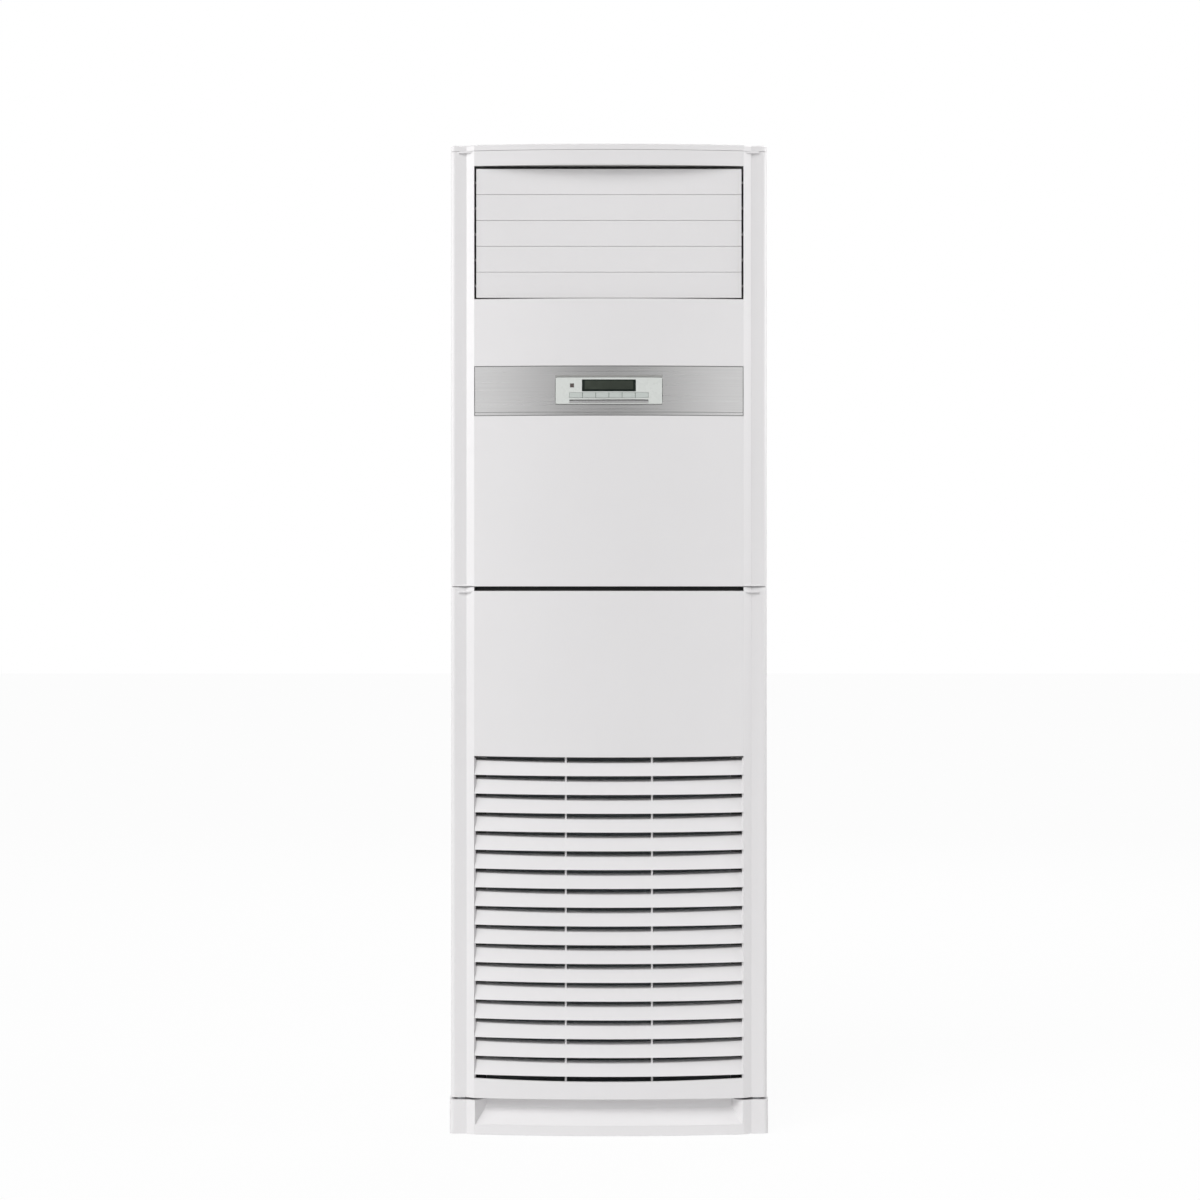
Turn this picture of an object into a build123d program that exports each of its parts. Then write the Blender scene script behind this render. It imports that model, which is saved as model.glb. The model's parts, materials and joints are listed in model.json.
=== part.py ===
"""Floor standing air conditioner, built as separate pieces.

Millimetres. +Z is up, the front faces -Y and +X is to the right as seen from the front.
The origin is on the floor, at the middle of the width and the depth.
Every function below makes one piece, or one set of alike pieces, where it sits in the unit.
"""

import os
from math import asin, cos, degrees, pi, radians, sin, sqrt

from build123d import *

# ---- whole unit ----
HEIGHT = 1750.0
DEPTH = 370.0  # front of the keys to the wall behind
BODY_WIDTH = 560.0
PLINTH_STEP = 2.0  # how far the plinth stands out on each side
WALL_STANDOFF = 7.0  # rear panel to the wall that the brackets touch

# ---- clearances ----
SEAT = 0.3  # between pieces that are fixed to each other
RUNNING = 0.06  # radial, between a pin and its bearing
LOOSE = 0.3  # radial, between a link bar and the pins that it drives
SIDE_PLAY = 0.5  # along a pin, between a moving piece and a fixed one
PAST = 1.0  # how far a cut or a joining piece runs beyond its face

# ---- plan of the front mouldings ----
PILLAR_WIDTH = 42.0  # from the side to the bowed middle
BOW_RISE = 16.0
BEVEL_WIDTH = 14.0
BEVEL_DEPTH = 8.0
CORNER_RADIUS = 8.0
WRAP_DEPTH = 45.0  # how far the mouldings reach round the sides
PANEL_WALL = 3.0
FLANGE_DEPTH = 14.0
FLANGE_WALL = 3.0

# ---- heights of the front ----
PLINTH_BOTTOM = 1.0
PLINTH_TOP = 61.0
BODY_SEAM = 3.8
LOWER_PANEL_TOP = 961.0
MIDDLE_GAP = 8.0  # across the bowed middle
PILLAR_SEAM = 1.3  # across the pillars
COVER_HEIGHT = 11.0
COVER_SEAM = 0.5
COVER_EDGE_DROP = 2.5
COVER_EDGE_SETBACK = 5.5

# ---- sheet metal ----
SHEET = 1.0
SHEET_FLANGE = 12.0
RIB_WIDTH = 16.0
RIB_DEPTH = 2.0
RIB_COUNT = 3
RIB_FIRST = 420.0
RIB_PITCH = 480.0

# ---- plinth, pan and feet ----
PLINTH_WALL = 3.0
SCOOP_INSET = 2.0  # inside the edge of the bow
SCOOP_DEPTH = 22.0
SCOOP_STEP = 14.5  # upright wall behind the ramp
SCOOP_CHEEK = 20.0  # how far each end runs in towards the back
SCOOP_LIP = 19.0
PAN_GAP = 4.5  # behind the scoop's wall
PAN_WALL = 1.5
PAN_BOTTOM = 5.0
FOOT_RADIUS = 20.0
FOOT_PAD = 10.0
FOOT_STEM_RADIUS = 6.0
FOOT_SIDE_INSET = 50.0
FOOT_FRONT_INSET = 38.0
FOOT_BACK_INSET = 37.0

# ---- lower front panel, its grille, hinge and filter ----
SLOT_COUNT = 18
SLOT_RISE = 33.8  # first slot above the panel's lower edge
SLOT_PITCH = 33.1
SLOT_HEIGHT = 12.5
LOWEST_SLOT_RISE = 2.7  # the lowest slot's foot is higher, since the wall below it stands upright
SLAT_DEPTH = 12.0
SLAT_WALL = 2.2
SLAT_RECESS = 6.0  # how far the top of a slat lies behind its foot
SLAT_TOP_SLOPE = 0.275
SLAT_UNDER_SLOPE = 0.1
MULLION_X = 76.0
MULLION_WIDTH = 3.5
MULLION_DEPTH = 9.0
CHEEK_WALL = 4.5
HINGE_RISE = 5.2  # above the panel's lower edge
HINGE_SETBACK = 5.5  # behind the inside of the pillar
HINGE_PIN_RADIUS = 3.0
HINGE_PIN_LENGTH = 15.0
HINGE_BOSS_WALL = 2.0
HINGE_PLATE = 2.5
HINGE_BRACKET_REACH = 10.0
LOWER_WRAP_GAP = 1.0
FILTER_INSET = 13.0  # inside the edge of the bow
FILTER_DROP = 7.3  # below the middle of the first slot
FILTER_HEIGHT = 575.0
FILTER_THICK = 6.0
FILTER_GAP = 2.5  # behind the slats
FILTER_BORDER = 12.0
FILTER_RIB = 4.0
FILTER_COLUMNS = 4
FILTER_ROWS = 5
FILTER_TAB = 60.0
MESH_THICK = 0.8
GUIDE_WALL = 2.4
GUIDE_DEPTH = 9.0

# ---- trim strip and display ----
TRIM_DROP = 118.5  # below the air outlet
TRIM_HEIGHT = 88.0
TRIM_THICK = 1.5
TRIM_BORDER = 3.5
TRIM_STEP = 0.4
BEZEL_WIDTH = 188.0
BEZEL_HEIGHT = 46.8
BEZEL_RISE = 43.8  # its middle above the strip's lower edge
BEZEL_PROUD = 1.0
BEZEL_WALL = 2.5
BEZEL_RADIUS = 2.5
BOARD_SETBACK = 17.0  # display board behind the bezel's front
BOARD_THICK = 1.6
WINDOW_WIDTH = 95.0
WINDOW_HEIGHT = 21.0
WINDOW_RISE = 9.2  # above the bezel's middle
WINDOW_THICK = 2.0
LCD_WIDTH = 88.0
LCD_HEIGHT = 14.5
INDICATOR_X = -65.0
INDICATOR_SIZE = 7.0
KEY_COUNT = 6
KEY_ROW_WIDTH = 139.4
KEY_ROW_DROP = 7.8  # below the bezel's middle
KEY_HEIGHT = 9.0
KEY_GAP = 0.8
KEY_PROUD = 0.5
KEY_TRAVEL = 1.2
KEY_FLANGE = 1.0
KEY_STEM = 4.0
SWITCH_SIZE = 6.0
SWITCH_HEIGHT = 4.0
GROOVE_DROP = 17.2  # below the bezel's middle
GROOVE_HEIGHT = 2.6
GROOVE_DEPTH = 0.9

# ---- air outlet, louvers and vanes ----
OUTLET_DROP = 38.0  # below the top of the unit
OUTLET_HEIGHT = 235.5
FRAME_WALL = 2.5
FRAME_MARGIN = 1.0  # duct wall behind the edge of the opening
FRAME_DEPTH = 113.5  # from the front of the bow
LOUVER_COUNT = 5
LOUVER_BOTTOM_GAP = 2.4
LOUVER_TOP_GAP = 4.4
LOUVER_SEAM = 0.5
LOUVER_SIDE_GAP = 3.5
LOUVER_RECESS = 18.5  # from the front of the bow
LOUVER_THICK = 2.5
LOUVER_SETBACK = 14.0  # the axis behind the louver's face
LOUVER_LUG = 3.0
LOUVER_LUG_RADIUS = 5.0
LOUVER_PIN_RADIUS = 2.5
CRANK_THROW = 14.0
CRANK_THICK = 3.0
CRANK_PIN_RADIUS = 2.0
CRANK_BOSS_RADIUS = 4.5
LINK_THICK = 3.0
LINK_WIDTH = 9.0
VANE_COUNT = 7
VANE_CHORD = 40.0
VANE_THICK = 2.0
VANE_SETBACK = 54.0  # behind the louvers' axes
VANE_PIN_RADIUS = 2.0
VANE_END_GAP = 4.0
VANE_THROW = 18.0
VANE_CRANK_THICK = 2.5
MOTOR_RADIUS = 14.0
MOTOR_LENGTH = 18.0
MOTOR_SHAFT_OFFSET = 10.0
MOTOR_EAR = 35.0  # between the ear holes
MOTOR_SOCKET = 3.0
EAR_THICK = 1.5

# ---- blower ----
SCROLL_ROOM = 65.0  # beside the scroll, for the pipes
SCROLL_GAP = 25.0  # between the wheel and the start of the scroll
WHEEL_RISE = 280.0  # the wheel's axis above the pan
DISCHARGE_RISE = 360.0  # the partition above the wheel's axis
WHEEL_FRONT_GAP = 13.0
WHEEL_BACK_GAP = 10.0
WHEEL_BLADES = 30
BLADE_DEPTH = 26.0
BLADE_THICK = 1.6
BLADE_BEND = 15.0  # where the blade bends, from its root
BLADE_BEND_LEAD = 3.0
BLADE_LEAD = 14.0  # how far the tip leads the root
BLADE_TIP_GAP = 1.0  # inside the wheel's edge
WHEEL_DISC = 2.5
WHEEL_RING = 5.0
HUB_RADIUS = 22.0
HUB_LENGTH = 40.0
SHAFT_RADIUS = 6.0
SHAFT_SEAT = 15.0  # how far the shaft enters the motor
SHAFT_NUT = 12.0  # what stands out of the hub for the nut
VOLUTE_STEP = 25.0  # what each quarter turn of the scroll adds
VOLUTE_WALL = 1.5
VOLUTE_TONGUE = 80.0  # degrees
VOLUTE_LEG_TOP = 110.0
VOLUTE_LEG_FOOT = 150.0
VOLUTE_FOOT = 14.0
THROAT_INSET = 32.0  # inside the wheel's edge
INLET_GAP = 34.3  # between the filter's guides and the inlet ring
INLET_DEPTH = 19.0
INLET_WALL = 2.0
INLET_STEPS = 2
MOTOR_BODY_RADIUS = 66.0
MOTOR_BODY_LENGTH = 84.0
MOTOR_BOSS_RADIUS = 30.0
MOTOR_BOSS_LENGTH = 8.0
MOTOR_GAP = 8.0  # behind the scroll
MOTOR_BACK_GAP = 27.0  # before the rear panel
MOTOR_BAND = 18.0
MOTOR_BAND_WALL = 3.0
MOTOR_ARM_LENGTH = 46.0
MOTOR_ARM_WIDTH = 24.0

# ---- upper compartment ----
PARTITION_WALL = 1.5
PARTITION_GAP = 3.3  # behind the filter's guides
RETURN_GAP = 5.0  # between the partition and the side panels' front returns
PIPE_HOLE_GAP = 4.0
COIL_ROOM = 59.0  # beside the fins, for the return bends and the pipes
COIL_RISE = 12.0  # above the drain pan
COIL_TOP_GAP = 21.55  # below the duct's foam
COIL_THICK = 40.0
COIL_TILT = 20.0
FIN_PITCH = 20.0
FIN_GROOVE = 17.0
FIN_GROOVE_DEPTH = 16.0
END_PLATE = 1.5
END_PLATE_MARGIN = 3.0
TUBE_RADIUS = 4.8
TUBE_COUNT = 6
TUBE_LOOP = 30.0  # how far a return bend reaches beyond the end plate
PAN_WIDTH_GAP = 0.7
DRAIN_RISE = 248.0  # above the partition
DRAIN_HEIGHT = 40.0
DRAIN_AHEAD = 42.0  # of the coil's foot
DRAIN_BEHIND = 35.0
DRAIN_WALL = 4.0
SPIGOT_INSET = 79.0
SPIGOT_RADIUS = 9.0
SPIGOT_BORE = 6.5
SPIGOT_LENGTH = 28.0
BOX_HALF = 150.0
BOX_SETBACK = 2.0  # behind the partition's front
BOX_DEPTH = 43.0
BOX_HEIGHT = 190.0
BOX_WALL = 1.2
CAPACITOR_X = 75.0
CAPACITOR_RADIUS = 18.0
CAPACITOR_HEIGHT = 73.8
POWER_BOARD_LEFT = 10.0  # from the box's left side
POWER_BOARD_WIDTH = 180.0
POWER_BOARD_MARGIN = 20.0
POWER_BOARD_THICK = 3.0
LID_SLOT_COUNT = 3
LID_SLOT_PITCH = 80.0
LID_SLOT_WIDTH = 60.0
LID_SLOT_HEIGHT = 5.0
LID_SLOT_DROP = 30.0
LINER_RISE = 5.5  # above the lower edge of the outlet
LINER_TOP_GAP = 3.0
LINER_BACK_GAP = 37.0
LINER_FOAM = 28.0
LINER_BULGE = 72.5
LINER_SIDE = 12.0

# ---- pipes and what goes out at the back ----
PIPE_REACH = 27.0  # beyond the fins
GAS_RADIUS = 8.0
GAS_SETBACK = 60.0  # behind the coil's foot
LIQUID_RADIUS = 4.8
PIPE_BEND = 16.0
PIPE_END = 270.0
NUT_HEIGHT = 22.0
NUT_EXTRA = 6.0
FLARE_LENGTH = 10.0
EXIT_INSET = 65.0
EXIT_Z = 150.0
EXIT_BORE = 32.0
GROMMET_WALL = 3.0
GROMMET_LIP = 6.0
GROMMET_DEPTH = 9.0
GLAND_INSET = 55.0
GLAND_Z = 150.0
GLAND_BORE = 5.0
GLAND_THREAD = 10.0
GLAND_NUT = 13.0
GLAND_LOCKNUT = 5.0
GLAND_INSIDE = 12.0
GLAND_WALL_GAP = 1.0
BRACKET_INSET = 90.0
BRACKET_DROP = 60.0  # below the top of the unit
BRACKET_WIDTH = 36.0
BRACKET_SHEET = 1.5
BRACKET_HOLE = 3.25
BRACKET_LEG = 36.0

# ---- places across the unit, worked out from the sizes above ----
BODY_HALF = BODY_WIDTH / 2
PLINTH_HALF = BODY_HALF + PLINTH_STEP
PANEL_HALF = BODY_HALF - PILLAR_WIDTH
SIDE_INSIDE = BODY_HALF - SHEET
SCOOP_HALF = PANEL_HALF - SCOOP_INSET
FOOT_X = BODY_HALF - FOOT_SIDE_INSET
FILTER_HALF = PANEL_HALF - FILTER_INSET
LOUVER_HALF = PANEL_HALF - LOUVER_SIDE_GAP
FRAME_HALF = PANEL_HALF + FRAME_WALL
CRANK_X = FRAME_HALF + SIDE_PLAY
LINK_X = CRANK_X + CRANK_THICK + SIDE_PLAY
VANE_PITCH = 2 * PANEL_HALF / (VANE_COUNT + 1)
KEY_PITCH = KEY_ROW_WIDTH / KEY_COUNT
VOLUTE_START = SIDE_INSIDE - SCROLL_ROOM - VOLUTE_WALL - 1.5 * VOLUTE_STEP
WHEEL_RADIUS = VOLUTE_START - SCROLL_GAP
WHEEL_X = -VOLUTE_STEP
INLET_THROAT = WHEEL_RADIUS - THROAT_INSET
MOTOR_ARM_REACH = MOTOR_BODY_RADIUS + MOTOR_ARM_LENGTH
PARTITION_NARROW = SIDE_INSIDE - SHEET_FLANGE - RETURN_GAP
COIL_HALF = SIDE_INSIDE - COIL_ROOM
SPIGOT_X = SPIGOT_INSET - SIDE_INSIDE
PIPE_X = -COIL_HALF - PIPE_REACH
EXIT_X = EXIT_INSET - BODY_HALF
GLAND_X = BODY_HALF - GLAND_INSET
BRACKET_X = BODY_HALF - BRACKET_INSET

# ---- places from front to back ----
FRONT_Y = -DEPTH / 2
PANEL_PEAK = FRONT_Y + KEY_PROUD + BEZEL_PROUD
BOW_RADIUS = (PANEL_HALF**2 + BOW_RISE**2) / (2 * BOW_RISE)
BOW_CENTRE = PANEL_PEAK + BOW_RADIUS
PILLAR_Y = PANEL_PEAK + BOW_RISE + BEVEL_DEPTH
WRAP_BACK = PILLAR_Y + WRAP_DEPTH
BACK_Y = DEPTH / 2 - WALL_STANDOFF
BACK_INSIDE = BACK_Y - SHEET
PAN_FRONT = PANEL_PEAK + BOW_RISE + SCOOP_DEPTH + PLINTH_WALL + PAN_GAP
FOOT_FRONT_Y = PAN_FRONT + FOOT_FRONT_INSET
FOOT_BACK_Y = BACK_INSIDE - FOOT_BACK_INSET
FILTER_FRONT = PILLAR_Y - BEVEL_DEPTH + SLAT_DEPTH + SLAT_RECESS + FILTER_GAP
CHEEK_BACK = FILTER_FRONT + FILTER_THICK + SEAT + GUIDE_WALL
HINGE_Y = PILLAR_Y + PANEL_WALL + HINGE_SETBACK
BEZEL_BACK = PANEL_PEAK + BOARD_SETBACK
FRAME_BACK = PANEL_PEAK + FRAME_DEPTH
LOUVER_FACE_Y = PANEL_PEAK + LOUVER_RECESS
LOUVER_AXIS_Y = LOUVER_FACE_Y + LOUVER_SETBACK
VANE_AXIS_Y = LOUVER_AXIS_Y + VANE_SETBACK
VOLUTE_FRONT = CHEEK_BACK + INLET_GAP + INLET_DEPTH
MOTOR_BODY_FRONT = BACK_INSIDE - MOTOR_BACK_GAP - MOTOR_BODY_LENGTH
VOLUTE_BACK = MOTOR_BODY_FRONT - MOTOR_GAP
WHEEL_FRONT = VOLUTE_FRONT + WHEEL_FRONT_GAP
WHEEL_BACK = VOLUTE_BACK - WHEEL_BACK_GAP
PARTITION_FRONT = CHEEK_BACK + PARTITION_GAP
BOX_FRONT = PARTITION_FRONT + BOX_SETBACK
BOX_BACK = BOX_FRONT + BOX_DEPTH
COIL_FOOT_Y = FRAME_BACK
DRAIN_FRONT = COIL_FOOT_Y - DRAIN_AHEAD
DRAIN_BACK = COIL_FOOT_Y + DRAIN_BEHIND
GAS_Y = COIL_FOOT_Y + GAS_SETBACK
LINER_BACK = BACK_INSIDE - LINER_BACK_GAP
LINER_INNER = LINER_BACK - LINER_FOAM

# ---- heights ----
PAN_TOP = PLINTH_TOP - SHEET
LOWER_PANEL_BOTTOM = PLINTH_TOP + BODY_SEAM
UPPER_PANEL_BOTTOM = LOWER_PANEL_TOP + MIDDLE_GAP
PILLAR_TOP = UPPER_PANEL_BOTTOM - PILLAR_SEAM
COVER_BOTTOM = HEIGHT - COVER_HEIGHT
UPPER_PANEL_TOP = COVER_BOTTOM - COVER_SEAM
SLOT_FIRST = LOWER_PANEL_BOTTOM + SLOT_RISE
SLAT_SLANT = SLAT_RECESS / (SLOT_PITCH - SLOT_HEIGHT)
HINGE_HEIGHT = LOWER_PANEL_BOTTOM + HINGE_RISE
FILTER_BOTTOM = SLOT_FIRST - FILTER_DROP
WHEEL_Z = PAN_TOP + WHEEL_RISE
PARTITION_Z = WHEEL_Z + DISCHARGE_RISE
OUTLET_TOP = HEIGHT - OUTLET_DROP
OUTLET_BOTTOM = OUTLET_TOP - OUTLET_HEIGHT
DUCT_BOTTOM = OUTLET_BOTTOM - FRAME_MARGIN
DUCT_TOP = OUTLET_TOP + FRAME_MARGIN
TRIM_TOP = OUTLET_BOTTOM - TRIM_DROP
TRIM_BOTTOM = TRIM_TOP - TRIM_HEIGHT
BEZEL_Z = TRIM_BOTTOM + BEZEL_RISE
WINDOW_Z = BEZEL_Z + WINDOW_RISE
KEY_ROW_Z = BEZEL_Z - KEY_ROW_DROP
GROOVE_Z = BEZEL_Z - GROOVE_DROP
LOUVER_STACK = OUTLET_HEIGHT - LOUVER_BOTTOM_GAP - LOUVER_TOP_GAP
LOUVER_PITCH = LOUVER_STACK / LOUVER_COUNT
VANE_CRANK_Z = DUCT_BOTTOM - FRAME_WALL - SIDE_PLAY - VANE_CRANK_THICK
VANE_LINK_Z = VANE_CRANK_Z - SIDE_PLAY - LINK_THICK
DRAIN_BOTTOM = PARTITION_Z + DRAIN_RISE
DRAIN_TOP = DRAIN_BOTTOM + DRAIN_HEIGHT
LINER_BOTTOM = OUTLET_BOTTOM + LINER_RISE
LINER_TOP = COVER_BOTTOM - LINER_TOP_GAP
COIL_FOOT_Z = DRAIN_TOP + COIL_RISE
COIL_LENGTH = (LINER_BOTTOM - COIL_TOP_GAP - COIL_FOOT_Z) / cos(radians(COIL_TILT))
COIL = Pos(0, COIL_FOOT_Y, COIL_FOOT_Z) * Rot(-COIL_TILT, 0, 0)
BRACKET_STEP_Z = HEIGHT - BRACKET_DROP


# ---- shared shapes ----
def block(x, y, z):
    """A box between the low and the high value on each axis."""
    size = [high - low for low, high in (x, y, z)]
    middle = [(high + low) / 2 for low, high in (x, y, z)]
    return Pos(*middle) * Box(*size)


def rod(radius, start, end):
    """A round bar from one point to another."""
    run = Vector(*end) - Vector(*start)
    return extrude(Plane(start, z_dir=run) * Circle(radius), run.length)


def prism_x(points, x):
    """A prism along X, from points given as (y, z)."""
    outline = make_face(Polyline(*points, close=True))
    return extrude(Plane.YZ.offset(x[0]) * outline, x[1] - x[0])


def slab_y(sketch, y, x=0.0, z=0.0):
    """A sketch of (x, z) values made solid between the two values of y."""
    plane = Plane((x, y[1], z), x_dir=(1, 0, 0), z_dir=(0, -1, 0))
    return extrude(plane * sketch, y[1] - y[0])


def bent_rod(radius, points, bend):
    """A round bar along straight runs, with each corner taken in two mitred steps."""
    corners = [Vector(*point) for point in points]
    path = corners[:1]
    for before, corner, after in zip(corners, corners[1:], corners[2:]):
        path.append(corner - (corner - before).normalized() * bend)
        path.append(corner + (after - corner).normalized() * bend)
    path.append(corners[-1])
    start = Plane(corners[0], z_dir=corners[1] - corners[0])
    return sweep(start * Circle(radius), path=Polyline(*path), transition=Transition.RIGHT)


def upright(plan, z):
    """A plan, drawn in x and y, made solid between two heights."""
    return extrude(Pos(0, 0, z[0]) * plan, z[1] - z[0], dir=(0, 0, 1))


def both_sides(piece):
    """The piece and its mirror image on the other side."""
    return [piece, mirror(piece, about=Plane.YZ)]


def bow_y(x, inset=0.0):
    """Where the bowed front lies at x, inset mm behind its surface."""
    return BOW_CENTRE - sqrt((BOW_RADIUS - inset) ** 2 - x**2)


def bow_arc(x, inset):
    """The bowed line between the two values of x."""
    ends = [(value, bow_y(value, inset)) for value in (x[0], (x[0] + x[1]) / 2, x[1])]
    return ThreePointArc(*ends)


def behind_bow(x, z, back, inset=0.0):
    """A solid with a bowed front and a flat back at y = back."""
    low, high = [(value, bow_y(value, inset)) for value in x]
    sides = Polyline(high, (x[1], back), (x[0], back), low)
    return upright(make_face(Curve() + [bow_arc(x, inset), sides]), z)


def bowed_plan(x, inset, thick):
    """The plan of a plate of even thickness that follows the bow."""
    back = inset + thick
    ends = [Line((value, bow_y(value, inset)), (value, bow_y(value, back))) for value in x]
    return make_face(Curve() + [bow_arc(x, inset), bow_arc(x, back), *ends])


def bowed_plate(x, z, inset, thick):
    """A plate of even thickness that follows the bow."""
    return upright(bowed_plan(x, inset, thick), z)


def front_plan(back, grow=0.0):
    """The plan of the front: bow, bevels, flat pillars and rounded corners."""
    bevel_x, side = PANEL_HALF + BEVEL_WIDTH, BODY_HALF + grow
    face_y, turn = PILLAR_Y - grow, CORNER_RADIUS * (1 - cos(pi / 4))
    edge_y = bow_y(PANEL_HALF) - grow
    corner = [(side - CORNER_RADIUS, face_y), (side - turn, face_y + turn), (side, face_y + CORNER_RADIUS)]
    half = [
        Polyline((PANEL_HALF, edge_y), (bevel_x, face_y), corner[0]),
        ThreePointArc(*corner),
        Polyline(corner[2], (side, back), (0, back)),
    ]
    other = [mirror(edge, about=Plane.YZ) for edge in half]
    bow = ThreePointArc((-PANEL_HALF, edge_y), (0, PANEL_PEAK - grow), (PANEL_HALF, edge_y))
    return make_face(Curve() + [bow, *half, *other])


def front_solid(z, back, grow=0.0):
    """The front's plan made solid between two heights."""
    return upright(front_plan(back, grow), z)


def front_shell(z, back):
    """The moulded front wall, open at the back, the top and the bottom."""
    inner = offset(front_plan(back + 2 * PANEL_WALL), amount=-PANEL_WALL, kind=Kind.INTERSECTION)
    return front_solid(z, back) - upright(inner, z)


def front_flange(z, half, depth):
    """An inward flange behind the bowed middle, between two heights."""
    return behind_bow((-half, half), z, PILLAR_Y + depth, PANEL_WALL / 2)


# ---- base ----
def base_plinth():
    """The moulded surround of the base, with the scoop under the intake."""
    outer = front_solid((PLINTH_BOTTOM, PLINTH_TOP), BACK_Y, PLINTH_STEP)
    outer -= block((-PLINTH_HALF, PLINTH_HALF), (FRONT_Y - PLINTH_STEP, FRONT_Y), (0, PLINTH_TOP))
    hollow = front_plan(BACK_Y + PLINTH_WALL, PLINTH_STEP - PLINTH_WALL)
    void = upright(hollow, (PLINTH_BOTTOM, PLINTH_TOP - PLINTH_WALL))
    behind = (PAN_FRONT - SEAT, BACK_Y + PLINTH_WALL)
    void += block((-SIDE_INSIDE, SIDE_INSIDE), behind, (PLINTH_BOTTOM, PLINTH_TOP))
    scoop_wall = scoop(SCOOP_HALF + PLINTH_WALL, PLINTH_WALL)
    return outer - (void - scoop_wall) - scoop(SCOOP_HALF, 0)


def scoop(half, wall):
    """The scoop's space, or with a wall the space and the wall around it."""
    back, front = BOW_RADIUS - SCOOP_DEPTH - wall, BOW_RADIUS + SCOOP_DEPTH
    step, lip, top = PLINTH_TOP - SCOOP_STEP - wall, SCOOP_LIP - wall, PLINTH_TOP + PAST
    profile = [(back, top), (back, step), (BOW_RADIUS, lip), (front, lip), (front, top)]
    ring = make_face(Plane.XZ * Polyline(*profile, close=True))
    arc = 2 * degrees(asin((half + SCOOP_DEPTH) / BOW_RADIUS))
    turned = revolve(ring, Axis.Z, revolution_arc=arc)
    placed = Pos(0, BOW_CENTRE, 0) * Rot(0, 0, -90 - arc / 2) * turned
    edge, run = bow_y(SCOOP_HALF), 2 * (SCOOP_DEPTH + wall)
    narrow = half - run * SCOOP_CHEEK / SCOOP_DEPTH
    side = [(half, FRONT_Y - SCOOP_DEPTH), (half, edge), (narrow, edge + run)]
    other = [(-x, y) for x, y in reversed(side)]
    plan = make_face(Polyline(*side, *other, close=True))
    return placed & upright(plan, (0, 2 * PLINTH_TOP))


def base_pan():
    """The folded steel tray, open below, that carries the blower."""
    half = SIDE_INSIDE - SEAT
    tray = block((-half, half), (PAN_FRONT, BACK_INSIDE), (PAN_BOTTOM, PAN_TOP))
    inner = half - PAN_WALL
    inside = (PAN_FRONT + PAN_WALL, BACK_INSIDE - PAN_WALL)
    return tray - block((-inner, inner), inside, (PAN_BOTTOM, PAN_TOP - PAN_WALL))


def base_feet():
    """Four levelling feet under the pan."""
    foot = rod(FOOT_RADIUS, (0, 0, 0), (0, 0, FOOT_PAD))
    foot += rod(FOOT_STEM_RADIUS, (0, 0, FOOT_PAD), (0, 0, PAN_TOP - PAN_WALL))
    return [Pos(x, y, 0) * foot for x in (-FOOT_X, FOOT_X) for y in (FOOT_FRONT_Y, FOOT_BACK_Y)]


# ---- cabinet ----
def rear_panel():
    """The rear sheet with its pressed ribs and the two exits."""
    half = SIDE_INSIDE - SEAT
    sheet = block((-half, half), (BACK_INSIDE, BACK_Y), (PAN_TOP / 2, COVER_BOTTOM))
    for i in range(RIB_COUNT):
        z = RIB_FIRST + i * RIB_PITCH
        sheet += rear_rib(z, half - RIB_WIDTH * 2, 0)
        sheet -= rear_rib(z, half - RIB_WIDTH * 2, SHEET)
    sheet -= rod(EXIT_BORE + GROMMET_WALL + SEAT, (EXIT_X, 0, EXIT_Z), (EXIT_X, DEPTH, EXIT_Z))
    return sheet - rod(GLAND_THREAD + SEAT, (GLAND_X, 0, GLAND_Z), (GLAND_X, DEPTH, GLAND_Z))


def rear_rib(z, half, inset):
    """A pressed rib across the rear sheet, or the hollow behind it."""
    flat, foot = RIB_WIDTH / 4, RIB_WIDTH / 2
    back, front = BACK_Y + RIB_DEPTH - inset, BACK_Y - inset
    points = [(front, z - foot), (back, z - flat), (back, z + flat), (front, z + foot)]
    return prism_x(points, (-half + inset, half - inset))


def right_side_panel():
    """One side sheet with its front and rear returns."""
    front, z = WRAP_BACK + SEAT, (PLINTH_TOP, COVER_BOTTOM)
    sheet = block((SIDE_INSIDE, BODY_HALF), (front, BACK_Y), z)
    returns = (SIDE_INSIDE - SHEET_FLANGE, SIDE_INSIDE)
    sheet += block(returns, (front, front + SHEET), z)
    return sheet + block(returns, (BACK_INSIDE - SHEET, BACK_INSIDE), z)


def top_cover():
    """The shallow moulded lid with its sloping upper edge."""
    lid = front_solid((COVER_BOTTOM, HEIGHT), BACK_Y)
    lid = chamfer(lid.faces().sort_by(Axis.Z)[-1].edges(), COVER_EDGE_DROP, COVER_EDGE_SETBACK)
    inner = offset(front_plan(BACK_Y), amount=-PANEL_WALL, kind=Kind.INTERSECTION)
    return lid - upright(inner, (COVER_BOTTOM, HEIGHT - PANEL_WALL))


def upper_front_panel():
    """The upper moulding with the outlet, the trim recess and the display hole."""
    panel = front_shell((UPPER_PANEL_BOTTOM, UPPER_PANEL_TOP), WRAP_BACK)
    half = BODY_HALF - FLANGE_DEPTH
    panel += front_flange((UPPER_PANEL_BOTTOM, UPPER_PANEL_BOTTOM + FLANGE_WALL), half, FLANGE_DEPTH)
    panel += front_flange((UPPER_PANEL_TOP - FLANGE_WALL, UPPER_PANEL_TOP), half, FLANGE_DEPTH)
    panel -= block((-PANEL_HALF, PANEL_HALF), (FRONT_Y, PILLAR_Y), (OUTLET_BOTTOM, OUTLET_TOP))
    panel -= bowed_plate((-PANEL_HALF, PANEL_HALF), (TRIM_BOTTOM, TRIM_TOP), 0, TRIM_THICK + SEAT)
    return panel - bezel_hole()


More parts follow.
